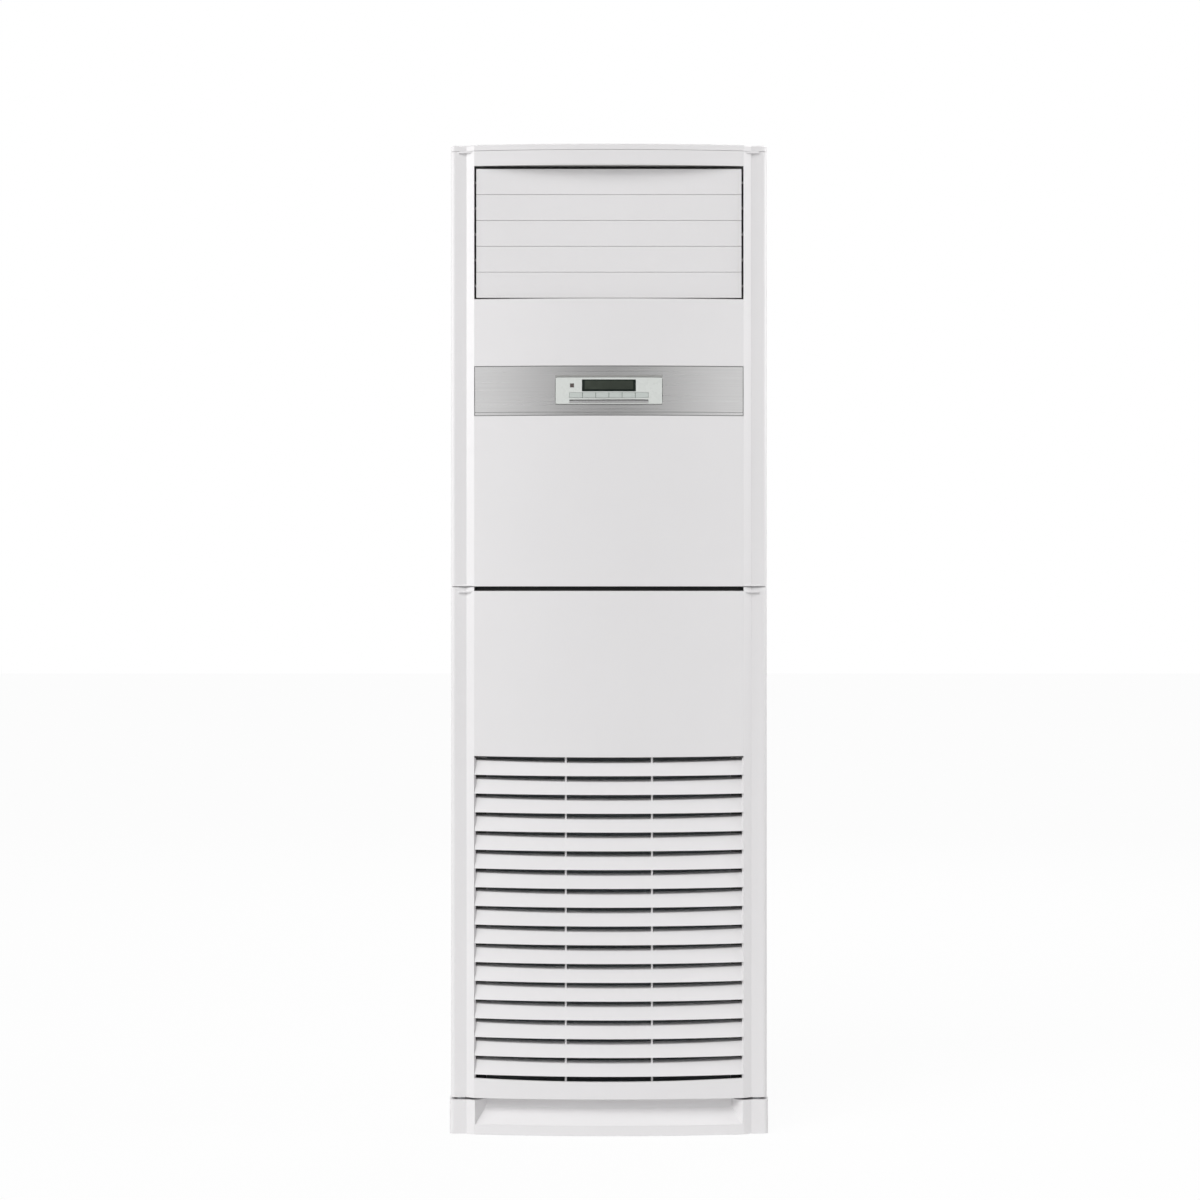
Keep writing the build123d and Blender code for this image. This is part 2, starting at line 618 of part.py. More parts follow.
# ---- lower front panel ----
def slat():
    """One slat of the intake: a bowed wall that leans back, with a lip at its top."""
    foot, top = SLOT_HEIGHT / 2, SLOT_PITCH - SLOT_HEIGHT / 2
    outer = leaning(foot, 0, SLAT_DEPTH) & between_slopes(foot, top)
    behind = leaning(foot, SLAT_WALL, SLAT_DEPTH)
    return outer - (behind & between_slopes(foot - SLAT_DEPTH, top - SLAT_WALL))


def leaning(foot, inset, depth):
    """A bowed plate that leans back as it rises past the slat's foot."""
    below, length = SLOT_PITCH / 2, 2 * SLOT_PITCH
    plan = bowed_plan((-PANEL_HALF, PANEL_HALF), inset, depth)
    start = Pos(0, -below * SLAT_SLANT, foot - below) * plan
    return Solid.extrude(start.face(), Vector(0, length * SLAT_SLANT, length))


def between_slopes(foot, top):
    """The space between a slat's sloping underside and its sloping top."""
    reach = 4 * SLAT_DEPTH
    lines = [(foot, SLAT_UNDER_SLOPE), (top, SLAT_TOP_SLOPE)]
    low, high = [[(PANEL_PEAK + y, z + y * slope) for y in (-reach, reach)] for z, slope in lines]
    return prism_x([*low, *reversed(high)], (-PANEL_HALF, PANEL_HALF))


def grille_window():
    """What is cut from the front wall for the grille."""
    foot = SLOT_FIRST - SLOT_HEIGHT / 2 + LOWEST_SLOT_RISE
    top = SLOT_FIRST + (SLOT_COUNT - 1) * SLOT_PITCH + SLOT_HEIGHT / 2
    reach = 4 * SLAT_DEPTH
    low = [(PANEL_PEAK + y, foot + y * SLAT_TOP_SLOPE) for y in (-reach, reach)]
    high = [(PANEL_PEAK + y, top + y * SLAT_UNDER_SLOPE) for y in (reach, -reach)]
    window = prism_x([*low, *high], (-PANEL_HALF, PANEL_HALF))
    return window & block((-PANEL_HALF, PANEL_HALF), (FRONT_Y, PILLAR_Y), (0, HEIGHT))


def lower_front_panel():
    """The intake moulding: shell, slats, mullions, filter guides and hinge pins."""
    panel = front_shell((LOWER_PANEL_BOTTOM, PILLAR_TOP), WRAP_BACK - LOWER_WRAP_GAP)
    panel -= block((-PANEL_HALF, PANEL_HALF), (FRONT_Y, PILLAR_Y), (LOWER_PANEL_TOP, PILLAR_TOP))
    bottom = (LOWER_PANEL_BOTTOM, LOWER_PANEL_BOTTOM + FLANGE_WALL)
    top = (LOWER_PANEL_TOP - FLANGE_WALL, LOWER_PANEL_TOP)
    depth = FILTER_FRONT - PILLAR_Y - FLANGE_WALL
    panel += front_flange(bottom, PANEL_HALF, depth)
    panel += front_flange(top, BODY_HALF - FLANGE_DEPTH, depth)
    panel -= grille_window()
    one = slat()
    slats = [Pos(0, 0, SLOT_FIRST + i * SLOT_PITCH) * one for i in range(SLOT_COUNT - 1)]
    return panel + [*slats, *mullions(), *both_sides(filter_guide()), *both_sides(hinge_pin())]


def mullions():
    """The two thin uprights behind the slats."""
    z = (SLOT_FIRST - SLOT_PITCH / 2, SLOT_FIRST + (SLOT_COUNT - 0.5) * SLOT_PITCH)
    half = MULLION_WIDTH / 2
    x = (MULLION_X - half, MULLION_X + half)
    return both_sides(bowed_plate(x, z, SLAT_RECESS + PAST, MULLION_DEPTH))


def filter_guide():
    """The upright channel on the right that holds the filter's edge."""
    z = (FILTER_BOTTOM - SEAT - GUIDE_WALL, FILTER_BOTTOM + FILTER_HEIGHT)
    cheek_x = PANEL_HALF - CHEEK_WALL / 2
    guide = block((cheek_x, cheek_x + CHEEK_WALL), (bow_y(PANEL_HALF, PANEL_WALL), CHEEK_BACK), z)
    inner = (FILTER_HALF + SEAT - GUIDE_DEPTH, cheek_x)
    front, back = FILTER_FRONT - SEAT, FILTER_FRONT + FILTER_THICK + SEAT
    guide += block(inner, (front - GUIDE_WALL, front), z)
    guide += block(inner, (back, back + GUIDE_WALL), z)
    guide += block((FILTER_HALF + SEAT, cheek_x), (front, back), z)
    return guide + block(inner, (front, back), (z[0], z[0] + GUIDE_WALL))


def hinge_pin():
    """The pin on the right that the panel tilts on, and its boss."""
    inner = BODY_HALF - PANEL_WALL
    boss = inner - HINGE_PIN_LENGTH / 3
    pin = rod(HINGE_PIN_RADIUS, hinge_point(inner - HINGE_PIN_LENGTH), hinge_point(inner))
    return pin + rod(HINGE_PIN_RADIUS + HINGE_BOSS_WALL, hinge_point(boss), hinge_point(inner + PAST))


def hinge_point(x):
    """The point of the lower panel's hinge axis at x."""
    return (x, HINGE_Y, HINGE_HEIGHT)


def hinge_brackets():
    """The two round nosed steel angles that the lower panel's pins turn in."""
    middle = BODY_HALF - PANEL_WALL - HINGE_PIN_LENGTH * 2 / 3
    x, nose = (middle - HINGE_PLATE / 2, middle + HINGE_PLATE / 2), HINGE_SETBACK - SEAT
    y = (HINGE_Y, HINGE_Y + HINGE_BRACKET_REACH)
    plate = block(x, y, (PLINTH_TOP, HINGE_HEIGHT + nose)) + rod(nose, hinge_point(x[0]), hinge_point(x[1]))
    plate += block((x[0] - HINGE_BRACKET_REACH, x[1]), y, (PLINTH_TOP, PLINTH_TOP + HINGE_PLATE))
    return both_sides(plate - rod(HINGE_PIN_RADIUS + RUNNING, hinge_point(0), hinge_point(BODY_HALF)))


def filter_frame():
    """The filter's moulded frame with its thin cross ribs and a pull tab."""
    z = (FILTER_BOTTOM, FILTER_BOTTOM + FILTER_HEIGHT)
    y = (FILTER_FRONT, FILTER_FRONT + FILTER_THICK)
    frame = block((-FILTER_HALF, FILTER_HALF), y, z)
    width = 2 * (FILTER_HALF - FILTER_BORDER) / FILTER_COLUMNS
    height = (FILTER_HEIGHT - 2 * FILTER_BORDER) / FILTER_ROWS
    pane = Rectangle(width - FILTER_RIB, height - FILTER_RIB)
    low = z[0] + FILTER_BORDER + height / 2
    places = [(i, j) for i in range(FILTER_COLUMNS) for j in range(FILTER_ROWS)]
    left = -width * (FILTER_COLUMNS - 1) / 2
    frame -= [slab_y(pane, y, left + i * width, low + j * height) for i, j in places]
    inner = FILTER_HALF - FILTER_RIB
    frame -= block((-inner, inner), mesh_y(SEAT), (z[0] + FILTER_RIB, z[1] - FILTER_RIB))
    tab = (y[0], y[0] + GUIDE_WALL)
    return frame + block((-FILTER_TAB / 2, FILTER_TAB / 2), tab, (z[1], z[1] + FILTER_BORDER))


def mesh_y(gap):
    """The filter mesh's place, with a gap on each side of it."""
    middle = FILTER_FRONT + FILTER_THICK / 2
    return (middle - MESH_THICK / 2 - gap, middle + MESH_THICK / 2 + gap)


def filter_mesh():
    """The fine net inside the filter's frame."""
    half = FILTER_HALF - FILTER_RIB - SEAT
    z = (FILTER_BOTTOM + FILTER_RIB + SEAT, FILTER_BOTTOM + FILTER_HEIGHT - FILTER_RIB - SEAT)
    return block((-half, half), mesh_y(0), z)


# ---- trim strip and display ----
def trim_strip():
    """The metal strip: a raised field inside a thin lowered border."""
    half, low, high = PANEL_HALF - SEAT, TRIM_BOTTOM + SEAT, TRIM_TOP - SEAT
    strip = bowed_plate((-half, half), (low, high), TRIM_STEP, TRIM_THICK - TRIM_STEP)
    field, inner = (low + TRIM_BORDER, high - TRIM_BORDER), half - TRIM_BORDER
    strip += bowed_plate((-inner, inner), field, 0, TRIM_THICK)
    return strip - bezel_hole()


def bezel_hole():
    """The opening for the display in the strip and in the panel behind it."""
    hole = RectangleRounded(BEZEL_WIDTH + 2 * SEAT, BEZEL_HEIGHT + 2 * SEAT, BEZEL_RADIUS)
    return slab_y(hole, (FRONT_Y, PILLAR_Y), z=BEZEL_Z)


def display_bezel():
    """The display's face with the window, indicator and key openings."""
    half, tall = BEZEL_WIDTH / 2, BEZEL_HEIGHT / 2
    depth, x = (FRONT_Y - PAST, BEZEL_BACK), (-half - PAST, half + PAST)
    z, back = (BEZEL_Z - tall - PAST, BEZEL_Z + tall + PAST), BEZEL_BACK + PAST
    bezel = slab_y(RectangleRounded(BEZEL_WIDTH, BEZEL_HEIGHT, BEZEL_RADIUS), depth, z=BEZEL_Z)
    bezel &= behind_bow(x, z, back, -BEZEL_PROUD)
    room = slab_y(Rectangle(2 * (half - BEZEL_WALL), 2 * (tall - BEZEL_WALL)), depth, z=BEZEL_Z)
    bezel -= room & behind_bow(x, z, back, BEZEL_WALL - BEZEL_PROUD)
    bezel -= slab_y(Rectangle(WINDOW_WIDTH, WINDOW_HEIGHT), depth, z=WINDOW_Z)
    bezel -= slab_y(Rectangle(INDICATOR_SIZE, INDICATOR_SIZE), depth, INDICATOR_X, WINDOW_Z)
    bezel -= slab_y(Rectangle(KEY_ROW_WIDTH, KEY_HEIGHT + 2 * SEAT), depth, z=KEY_ROW_Z)
    groove = (GROOVE_Z - GROOVE_HEIGHT / 2, GROOVE_Z + GROOVE_HEIGHT / 2)
    ahead, row = BEZEL_PROUD + PAST, (-KEY_ROW_WIDTH / 2, KEY_ROW_WIDTH / 2)
    return bezel - bowed_plate(row, groove, -ahead, PAST + GROOVE_DEPTH)


def display_window():
    """The smoked lens of the display."""
    half = WINDOW_WIDTH / 2 - SEAT
    z = (WINDOW_Z - WINDOW_HEIGHT / 2 + SEAT, WINDOW_Z + WINDOW_HEIGHT / 2 - SEAT)
    return bowed_plate((-half, half), z, SEAT - BEZEL_PROUD, WINDOW_THICK)


def indicator_lens():
    """The small dark receiver lens beside the display."""
    half = INDICATOR_SIZE / 2 - SEAT
    x = (INDICATOR_X - half, INDICATOR_X + half)
    return bowed_plate(x, (WINDOW_Z - half, WINDOW_Z + half), SEAT - BEZEL_PROUD, 2 * WINDOW_THICK)


def display_board():
    """The circuit board behind the bezel, with its display and key switches."""
    outline = Rectangle(BEZEL_WIDTH - BEZEL_WALL, BEZEL_HEIGHT - BEZEL_WALL)
    board = slab_y(outline, (BEZEL_BACK, BEZEL_BACK + BOARD_THICK), z=BEZEL_Z)
    front = bow_y(LCD_WIDTH / 2, WINDOW_THICK + 2 * SEAT - BEZEL_PROUD)
    board += slab_y(Rectangle(LCD_WIDTH, LCD_HEIGHT), (front, BEZEL_BACK), z=WINDOW_Z)
    switch, depth = Rectangle(SWITCH_SIZE, SWITCH_SIZE), (BEZEL_BACK - SWITCH_HEIGHT, BEZEL_BACK)
    return board + [slab_y(switch, depth, key_x(i), KEY_ROW_Z) for i in range(KEY_COUNT)]


def key_x(i):
    """The middle of one key."""
    return (i - (KEY_COUNT - 1) / 2) * KEY_PITCH


def key(i):
    """One key: a cap through the bezel, a flange behind it and a stem to its switch."""
    half, tall = (KEY_PITCH - KEY_GAP) / 2, KEY_HEIGHT / 2
    x, low, high = (key_x(i) - half, key_x(i) + half), KEY_ROW_Z - tall, KEY_ROW_Z + tall
    front, face = -BEZEL_PROUD - KEY_PROUD, BEZEL_WALL - BEZEL_PROUD
    cap = bowed_plate(x, (low, high), front, face + SEAT + KEY_FLANGE - front)
    cap += bowed_plate(x, (low - KEY_FLANGE, high + KEY_FLANGE), face + SEAT, KEY_FLANGE)
    tip = BEZEL_BACK - SWITCH_HEIGHT - KEY_TRAVEL - SEAT
    return cap + slab_y(Rectangle(KEY_STEM, KEY_STEM), (bow_y(key_x(i), face), tip), key_x(i), KEY_ROW_Z)


# ---- air outlet ----
def louver_z(i):
    """The height of one louver's axis."""
    return OUTLET_BOTTOM + LOUVER_BOTTOM_GAP + (i + 0.5) * LOUVER_PITCH


def vane_x(i):
    """The place of one vane's axis."""
    return (i - (VANE_COUNT - 1) / 2) * VANE_PITCH


def outlet_frame():
    """The duct behind the outlet that carries the louvers and the vanes."""
    z = (DUCT_BOTTOM - FRAME_WALL, DUCT_TOP + FRAME_WALL)
    front = PANEL_WALL + SEAT
    frame = behind_bow((-FRAME_HALF, FRAME_HALF), z, FRAME_BACK, front)
    corner_y = bow_y(PANEL_HALF, front) + (BEVEL_DEPTH / BEVEL_WIDTH) * (FRAME_WALL + PANEL_WALL)
    corner = block((PANEL_HALF - 2 * PANEL_WALL, FRAME_HALF), (FRONT_Y, corner_y), z)
    frame -= both_sides(corner)
    frame -= block((-PANEL_HALF, PANEL_HALF), (FRONT_Y, FRAME_BACK), (DUCT_BOTTOM, DUCT_TOP))
    holes = [louver_hole(louver_z(i)) for i in range(LOUVER_COUNT)]
    holes += [vane_hole(vane_x(i)) for i in range(VANE_COUNT)]
    return frame - holes


def louver_hole(z):
    """The bearing holes of one louver in both side walls."""
    reach = FRAME_HALF + PAST
    return rod(LOUVER_PIN_RADIUS + RUNNING, (-reach, LOUVER_AXIS_Y, z), (reach, LOUVER_AXIS_Y, z))


def vane_hole(x):
    """The bearing holes of one vane in the floor and the roof of the duct."""
    low, high = DUCT_BOTTOM - FRAME_WALL - PAST, DUCT_TOP + FRAME_WALL + PAST
    return rod(VANE_PIN_RADIUS + RUNNING, (x, VANE_AXIS_Y, low), (x, VANE_AXIS_Y, high))


def louver(i):
    """One louver: blade, end lugs, pins and the crank outside the duct."""
    z, tall = louver_z(i), (LOUVER_PITCH - LOUVER_SEAM) / 2
    back, x = LOUVER_FACE_Y + LOUVER_THICK, (-LOUVER_HALF, LOUVER_HALF)
    blade = block(x, (LOUVER_FACE_Y, back), (z - tall, z + tall))
    blade = chamfer(blade.edges().filter_by(Axis.X).group_by(Axis.Y)[0], LOUVER_THICK / 8)
    rib = block(x, (back, back + LOUVER_THICK), (z - LOUVER_THICK, z + LOUVER_THICK))
    tip, eye = LOUVER_AXIS_Y + LOUVER_LUG_RADIUS, LOUVER_LUG_RADIUS * 0.6
    lug_points = [(back, z - tall / 2), (tip, z - eye), (tip, z + eye), (back, z + tall / 2)]
    start = LOUVER_HALF - LOUVER_LUG
    lug = prism_x(lug_points, (start, LOUVER_HALF))
    ends = [(-start, -FRAME_HALF - SIDE_PLAY), (start, CRANK_X + CRANK_THICK)]
    pins = [rod(LOUVER_PIN_RADIUS, (a, LOUVER_AXIS_Y, z), (b, LOUVER_AXIS_Y, z)) for a, b in ends]
    return blade + [rib, *both_sides(lug), *pins, louver_crank(z)]


def louver_crank(z):
    """The crank arm and its pin, which the link bar drives."""
    arm = (CRANK_X, CRANK_X + CRANK_THICK)
    pin_y, tip = LOUVER_AXIS_Y + CRANK_THROW, LINK_X + LINK_THICK + SIDE_PLAY
    half = CRANK_BOSS_RADIUS
    crank = block(arm, (LOUVER_AXIS_Y - half, pin_y + half), (z - half, z + half))
    crank = chamfer(crank.edges().filter_by(Axis.X), half / 2)
    return crank + rod(CRANK_PIN_RADIUS, (arm[0], pin_y, z), (tip, pin_y, z))


def louver_link_bar():
    """The upright bar that joins the louvers' cranks."""
    y, half = LOUVER_AXIS_Y + CRANK_THROW, LINK_WIDTH / 2
    x, ends = (LINK_X, LINK_X + LINK_THICK), (louver_z(0) - half, louver_z(LOUVER_COUNT - 1) + half)
    bar = block(x, (y - half, y + half), ends)
    for i in range(LOUVER_COUNT):
        play = RUNNING if i == LOUVER_COUNT // 2 else LOOSE
        z = louver_z(i)
        bar -= rod(CRANK_PIN_RADIUS + play, (x[0] - PAST, y, z), (x[1] + PAST, y, z))
    return bar


def vane(i):
    """One upright vane with its pins, and the crank under the duct."""
    x, half = vane_x(i), VANE_CHORD / 2
    z = (DUCT_BOTTOM + VANE_END_GAP, DUCT_TOP - VANE_END_GAP)
    blade = block((x - VANE_THICK / 2, x + VANE_THICK / 2), (VANE_AXIS_Y - half, VANE_AXIS_Y + half), z)
    blade = chamfer(blade.edges().filter_by(Axis.X).group_by(Axis.Y)[0], half / 2)
    pin = rod(VANE_PIN_RADIUS, (x, VANE_AXIS_Y, VANE_CRANK_Z), (x, VANE_AXIS_Y, DUCT_TOP + FRAME_WALL))
    drive_y, eye, top = VANE_AXIS_Y + VANE_THROW, 2 * VANE_PIN_RADIUS, VANE_CRANK_Z + VANE_CRANK_THICK
    arm = block((x - eye, x + eye), (VANE_AXIS_Y - eye, drive_y + eye), (VANE_CRANK_Z, top))
    drive = rod(VANE_PIN_RADIUS, (x, drive_y, VANE_LINK_Z - SIDE_PLAY), (x, drive_y, top))
    return blade + [pin, arm, drive]


def vane_link_bar():
    """The bar under the duct that joins the vanes' cranks."""
    y, half = VANE_AXIS_Y + VANE_THROW, LINK_WIDTH / 2
    reach, z = vane_x(VANE_COUNT - 1) + half, (VANE_LINK_Z, VANE_LINK_Z + LINK_THICK)
    bar = block((-reach, reach), (y - half, y + half), z)
    for i in range(VANE_COUNT):
        play = RUNNING if i == VANE_COUNT // 2 else LOOSE
        x = vane_x(i)
        bar -= rod(VANE_PIN_RADIUS + play, (x, y, z[0] - PAST), (x, y, z[1] + PAST))
    return bar


def gear_motor():
    """A small geared motor: can and ears, with its output at the origin along +Z."""
    middle = Pos(0, MOTOR_SHAFT_OFFSET)
    can = extrude(middle * Circle(MOTOR_RADIUS), MOTOR_LENGTH)
    can += extrude(middle * SlotCenterToCenter(MOTOR_EAR, CRANK_BOSS_RADIUS * 2), EAR_THICK)
    return can - extrude(Circle(LOUVER_PIN_RADIUS + LOOSE), MOTOR_SOCKET)


def louver_motor():
    """The motor on the left wall of the duct, at the middle louver."""
    z = louver_z(LOUVER_COUNT // 2)
    plane = Plane((-FRAME_HALF, LOUVER_AXIS_Y, z), x_dir=(0, 0, 1), z_dir=(-1, 0, 0))
    return turned_to_back(plane)


def turned_to_back(plane):
    """The geared motor on a plane, with its can towards the back of the unit."""
    placed = plane * gear_motor()
    towards_back = plane.y_dir.Y > 0
    return placed if towards_back else plane * Rot(0, 0, 180) * gear_motor()


def vane_motor():
    """The motor on the roof of the duct, at the middle vane."""
    plane = Plane((vane_x(VANE_COUNT // 2), VANE_AXIS_Y, DUCT_TOP + FRAME_WALL), x_dir=(1, 0, 0))
    return turned_to_back(plane)


# ---- blower ----
def blower_wheel():
    """The forward curved wheel: blades between a ring and a hub disc."""
    inside, rim = WHEEL_FRONT + WHEEL_RING, WHEEL_BACK - WHEEL_DISC
    wheel = slab_y(Circle(WHEEL_RADIUS), (rim, WHEEL_BACK))
    wheel += slab_y(Circle(HUB_RADIUS), (WHEEL_BACK - HUB_LENGTH, rim))
    ring = Circle(WHEEL_RADIUS) - Circle(WHEEL_RADIUS - WHEEL_RING)
    wheel += slab_y(ring, (WHEEL_FRONT, inside))
    blade = slab_y(wheel_blade(), (inside, rim))
    turn = 360 / WHEEL_BLADES
    wheel += [Rot(0, i * turn, 0) * blade for i in range(WHEEL_BLADES)]
    wheel -= slab_y(Circle(SHAFT_RADIUS + RUNNING / 2), (WHEEL_FRONT, WHEEL_BACK))
    return Pos(WHEEL_X, 0, WHEEL_Z) * wheel


def wheel_blade():
    """The section of one blade, bent forward towards its tip."""
    root, tip = WHEEL_RADIUS - BLADE_DEPTH, WHEEL_RADIUS - BLADE_TIP_GAP
    line = [(root, 0), (root + BLADE_BEND, BLADE_BEND_LEAD), (tip, BLADE_LEAD)]
    back = [(x, lead + BLADE_THICK) for x, lead in reversed(line)]
    return make_face(Polyline(*line, *back, close=True))


def fan_shaft():
    """The steel shaft from the motor through the wheel's hub, with its end nut."""
    hub, end = WHEEL_BACK - HUB_LENGTH, MOTOR_BODY_FRONT + SHAFT_SEAT
    start = hub - SHAFT_NUT
    shaft = rod(SHAFT_RADIUS, (WHEEL_X, start, WHEEL_Z), (WHEEL_X, end, WHEEL_Z))
    nut = RegularPolygon(SHAFT_RADIUS * 1.8, 6)
    return shaft + slab_y(nut, (start + SHAFT_NUT / 6, hub - SEAT), WHEEL_X, WHEEL_Z)


def scroll_plan(wall):
    """The scroll's outline: three quarter arcs that grow, and the straight discharge."""
    shift, first = VOLUTE_STEP / 2, VOLUTE_START + wall
    centres = [(-shift, -shift), (shift, -shift), (shift, shift)]
    start = radians(VOLUTE_TONGUE)
    tongue = (centres[0][0] + first * cos(start), centres[0][1] + first * sin(start))
    edges, point, angle = [], tongue, start
    for i, centre in enumerate(centres):
        radius, stop = first + i * VOLUTE_STEP, pi + i * pi / 2
        through, end = [circle_point(centre, radius, a) for a in ((angle + stop) / 2, stop)]
        edges.append(ThreePointArc(point, through, end))
        point, angle = end, stop
    top = PARTITION_Z - WHEEL_Z
    edges.append(Polyline(point, (point[0], top), (tongue[0] - 2 * wall, top), tongue))
    return make_face(Curve() + edges)


def circle_point(centre, radius, angle):
    """The point of a circle at an angle from its centre."""
    return (centre[0] + radius * cos(angle), centre[1] + radius * sin(angle))


def volute_casing():
    """The scroll housing with its inlet, motor opening, legs and open discharge."""
    outer = scroll_plan(VOLUTE_WALL)
    case = slab_y(outer, (VOLUTE_FRONT, VOLUTE_BACK))
    case -= slab_y(scroll_plan(0), (VOLUTE_FRONT + VOLUTE_WALL, VOLUTE_BACK - VOLUTE_WALL))
    low, narrow, wide = PAN_TOP - WHEEL_Z, VOLUTE_LEG_TOP, VOLUTE_LEG_FOOT
    high = -VOLUTE_START / 2
    leg = make_face(Polyline((-narrow, high), (narrow, high), (wide, low), (-wide, low), close=True)) - outer
    front, back = (VOLUTE_FRONT, VOLUTE_FRONT + VOLUTE_FOOT), (VOLUTE_BACK - VOLUTE_FOOT, VOLUTE_BACK)
    case += [block((-wide, wide), y, (low, low + VOLUTE_WALL)) for y in (front, back)]
    case += [slab_y(leg, (y, y + VOLUTE_WALL)) for y in (VOLUTE_FRONT, VOLUTE_BACK - VOLUTE_WALL)]
    case -= slab_y(Circle(INLET_THROAT + INLET_WALL + SEAT), (VOLUTE_FRONT, 0))
    case -= slab_y(Circle(HUB_RADIUS + VOLUTE_WALL), (0, VOLUTE_BACK))
    return Pos(WHEEL_X, 0, WHEEL_Z) * case


def inlet_ring():
    """The bell mouth that leads the air into the wheel, with its flange on the scroll."""
    flare, wall, seat = WHEEL_RADIUS - INLET_THROAT, INLET_WALL, VOLUTE_FRONT
    turns = [radians(90 * i / INLET_STEPS) for i in range(INLET_STEPS + 1)]
    bell = [(INLET_THROAT + flare * (1 - cos(a)), seat - INLET_DEPTH * sin(a)) for a in turns]
    outer = [(x + wall * cos(a), y + wall * sin(a)) for (x, y), a in zip(bell[1:], turns[1:])]
    flange = [(INLET_THROAT + wall * 2, seat - wall), (WHEEL_RADIUS, seat - wall), (WHEEL_RADIUS, seat)]
    back = WHEEL_FRONT + WHEEL_RING
    neck = [(INLET_THROAT + wall, seat), (INLET_THROAT + wall, back), (INLET_THROAT, back)]
    profile = make_face(Polyline(*bell, *reversed(outer), *flange, *neck, close=True))
    return Pos(WHEEL_X, 0, WHEEL_Z) * revolve(profile, Axis.Y)


def fan_motor():
    """The motor behind the scroll, with stepped ends and the shaft's bearing."""
    front, back = MOTOR_BODY_FRONT, MOTOR_BODY_FRONT + MOTOR_BODY_LENGTH
    body = slab_y(Circle(MOTOR_BODY_RADIUS), (front + MOTOR_BOSS_LENGTH, back - MOTOR_BOSS_LENGTH))
    body += slab_y(Circle(MOTOR_BOSS_RADIUS), (front, back))
    body -= slab_y(Circle(SHAFT_RADIUS + RUNNING), (front, front + SHAFT_SEAT + SIDE_PLAY))
    return Pos(WHEEL_X, 0, WHEEL_Z) * body


def motor_bracket():
    """The band around the motor and its four arms to the scroll's back plate."""
    front = MOTOR_BODY_FRONT + (MOTOR_BODY_LENGTH - MOTOR_BAND) / 2
    inner, wall, half = MOTOR_BODY_RADIUS + SEAT, MOTOR_BAND_WALL, MOTOR_ARM_WIDTH / 2
    bracket = slab_y(Circle(inner + wall) - Circle(inner), (front, front + MOTOR_BAND))
    reach, z = MOTOR_ARM_REACH, (-half, half)
    arm = block((inner + wall - PAST, reach), (front, front + wall), z)
    arm += block((reach - wall, reach), (VOLUTE_BACK, front + wall), z)
    arm += block((reach - wall, reach + half), (VOLUTE_BACK, VOLUTE_BACK + wall), z)
    return Pos(WHEEL_X, 0, WHEEL_Z) * (bracket + [Rot(0, 45 + i * 90, 0) * arm for i in range(4)])


# ---- upper compartment ----
def partition_plate():
    """The plate over the blower, with the discharge opening and the pipe holes."""
    z = (PARTITION_Z, PARTITION_Z + PARTITION_WALL)
    half, back = SIDE_INSIDE - SEAT, BACK_INSIDE - SHEET - SEAT
    step = WRAP_BACK + SEAT + SHEET + SEAT
    plate = block((-half, half), (step, back), z)
    plate += block((-PARTITION_NARROW, PARTITION_NARROW), (PARTITION_FRONT, step + PAST), z)
    duct = (VOLUTE_FRONT + VOLUTE_WALL, VOLUTE_BACK - VOLUTE_WALL)
    mouth = slab_y(scroll_plan(0), duct, WHEEL_X, WHEEL_Z).faces().sort_by(Axis.Z)[-1]
    plate -= extrude(mouth, 2 * PARTITION_WALL, dir=(0, 0, 1))
    for radius, (x, y, _) in ((GAS_RADIUS, gas_points()[-1]), (LIQUID_RADIUS, liquid_points()[-1])):
        plate -= rod(radius + PIPE_HOLE_GAP, (x, y, z[0] - PAST), (x, y, z[1] + PAST))
    return plate


def coil_point(reach, x=0.0):
    """A point on the coil's middle plane, reach mm up its slope."""
    slope = radians(COIL_TILT)
    return Vector(x, COIL_FOOT_Y + reach * sin(slope), COIL_FOOT_Z + reach * cos(slope))


def evaporator_fins():
    """The leaning fin pack."""
    half, thick, length = COIL_HALF, COIL_THICK / 2, (0, COIL_LENGTH)
    count = int(2 * half / FIN_PITCH) - 1
    grooves = []
    for i in range(count):
        x = (i - (count - 1) / 2) * FIN_PITCH
        groove = (x - FIN_GROOVE / 2, x + FIN_GROOVE / 2)
        grooves.append(block(groove, (-thick, FIN_GROOVE_DEPTH - thick), length))
        grooves.append(block(groove, (thick - FIN_GROOVE_DEPTH, thick), length))
    return COIL * (block((-half, half), (-thick, thick), length) - grooves)


def coil_end_plates():
    """The plates at the coil's ends, with the wings that close the sides."""
    x, thick = (COIL_HALF, COIL_HALF + END_PLATE), COIL_THICK / 2 + END_PLATE_MARGIN
    plate = block(x, (-thick, thick), (-END_PLATE_MARGIN, COIL_LENGTH + END_PLATE_MARGIN))
    wing = (COIL_HALF, SIDE_INSIDE - SEAT)
    plate += block(wing, (-thick, -thick + END_PLATE), (END_PLATE_MARGIN, COIL_LENGTH))
    return [COIL * side for side in both_sides(plate)]


def evaporator_tubes():
    """The return bends at both ends of the coil."""
    right = [return_bend(i) for i in range(0, TUBE_COUNT, 2)]
    left = [mirror(return_bend(i), about=Plane.YZ) for i in range(1, TUBE_COUNT - 1, 2)]
    return [COIL * bend for bend in right + left]


def return_bend(i):
    """The bend on the right from one tube to the next."""
    pitch, start = COIL_LENGTH / TUBE_COUNT, COIL_HALF + END_PLATE
    low, high, reach = (i + 0.5) * pitch, (i + 1.5) * pitch, start + TUBE_LOOP
    corners = [(start, 0, low), (reach, 0, low), (reach, 0, high), (start, 0, high)]
    return bent_rod(TUBE_RADIUS, corners, TUBE_LOOP / 2)


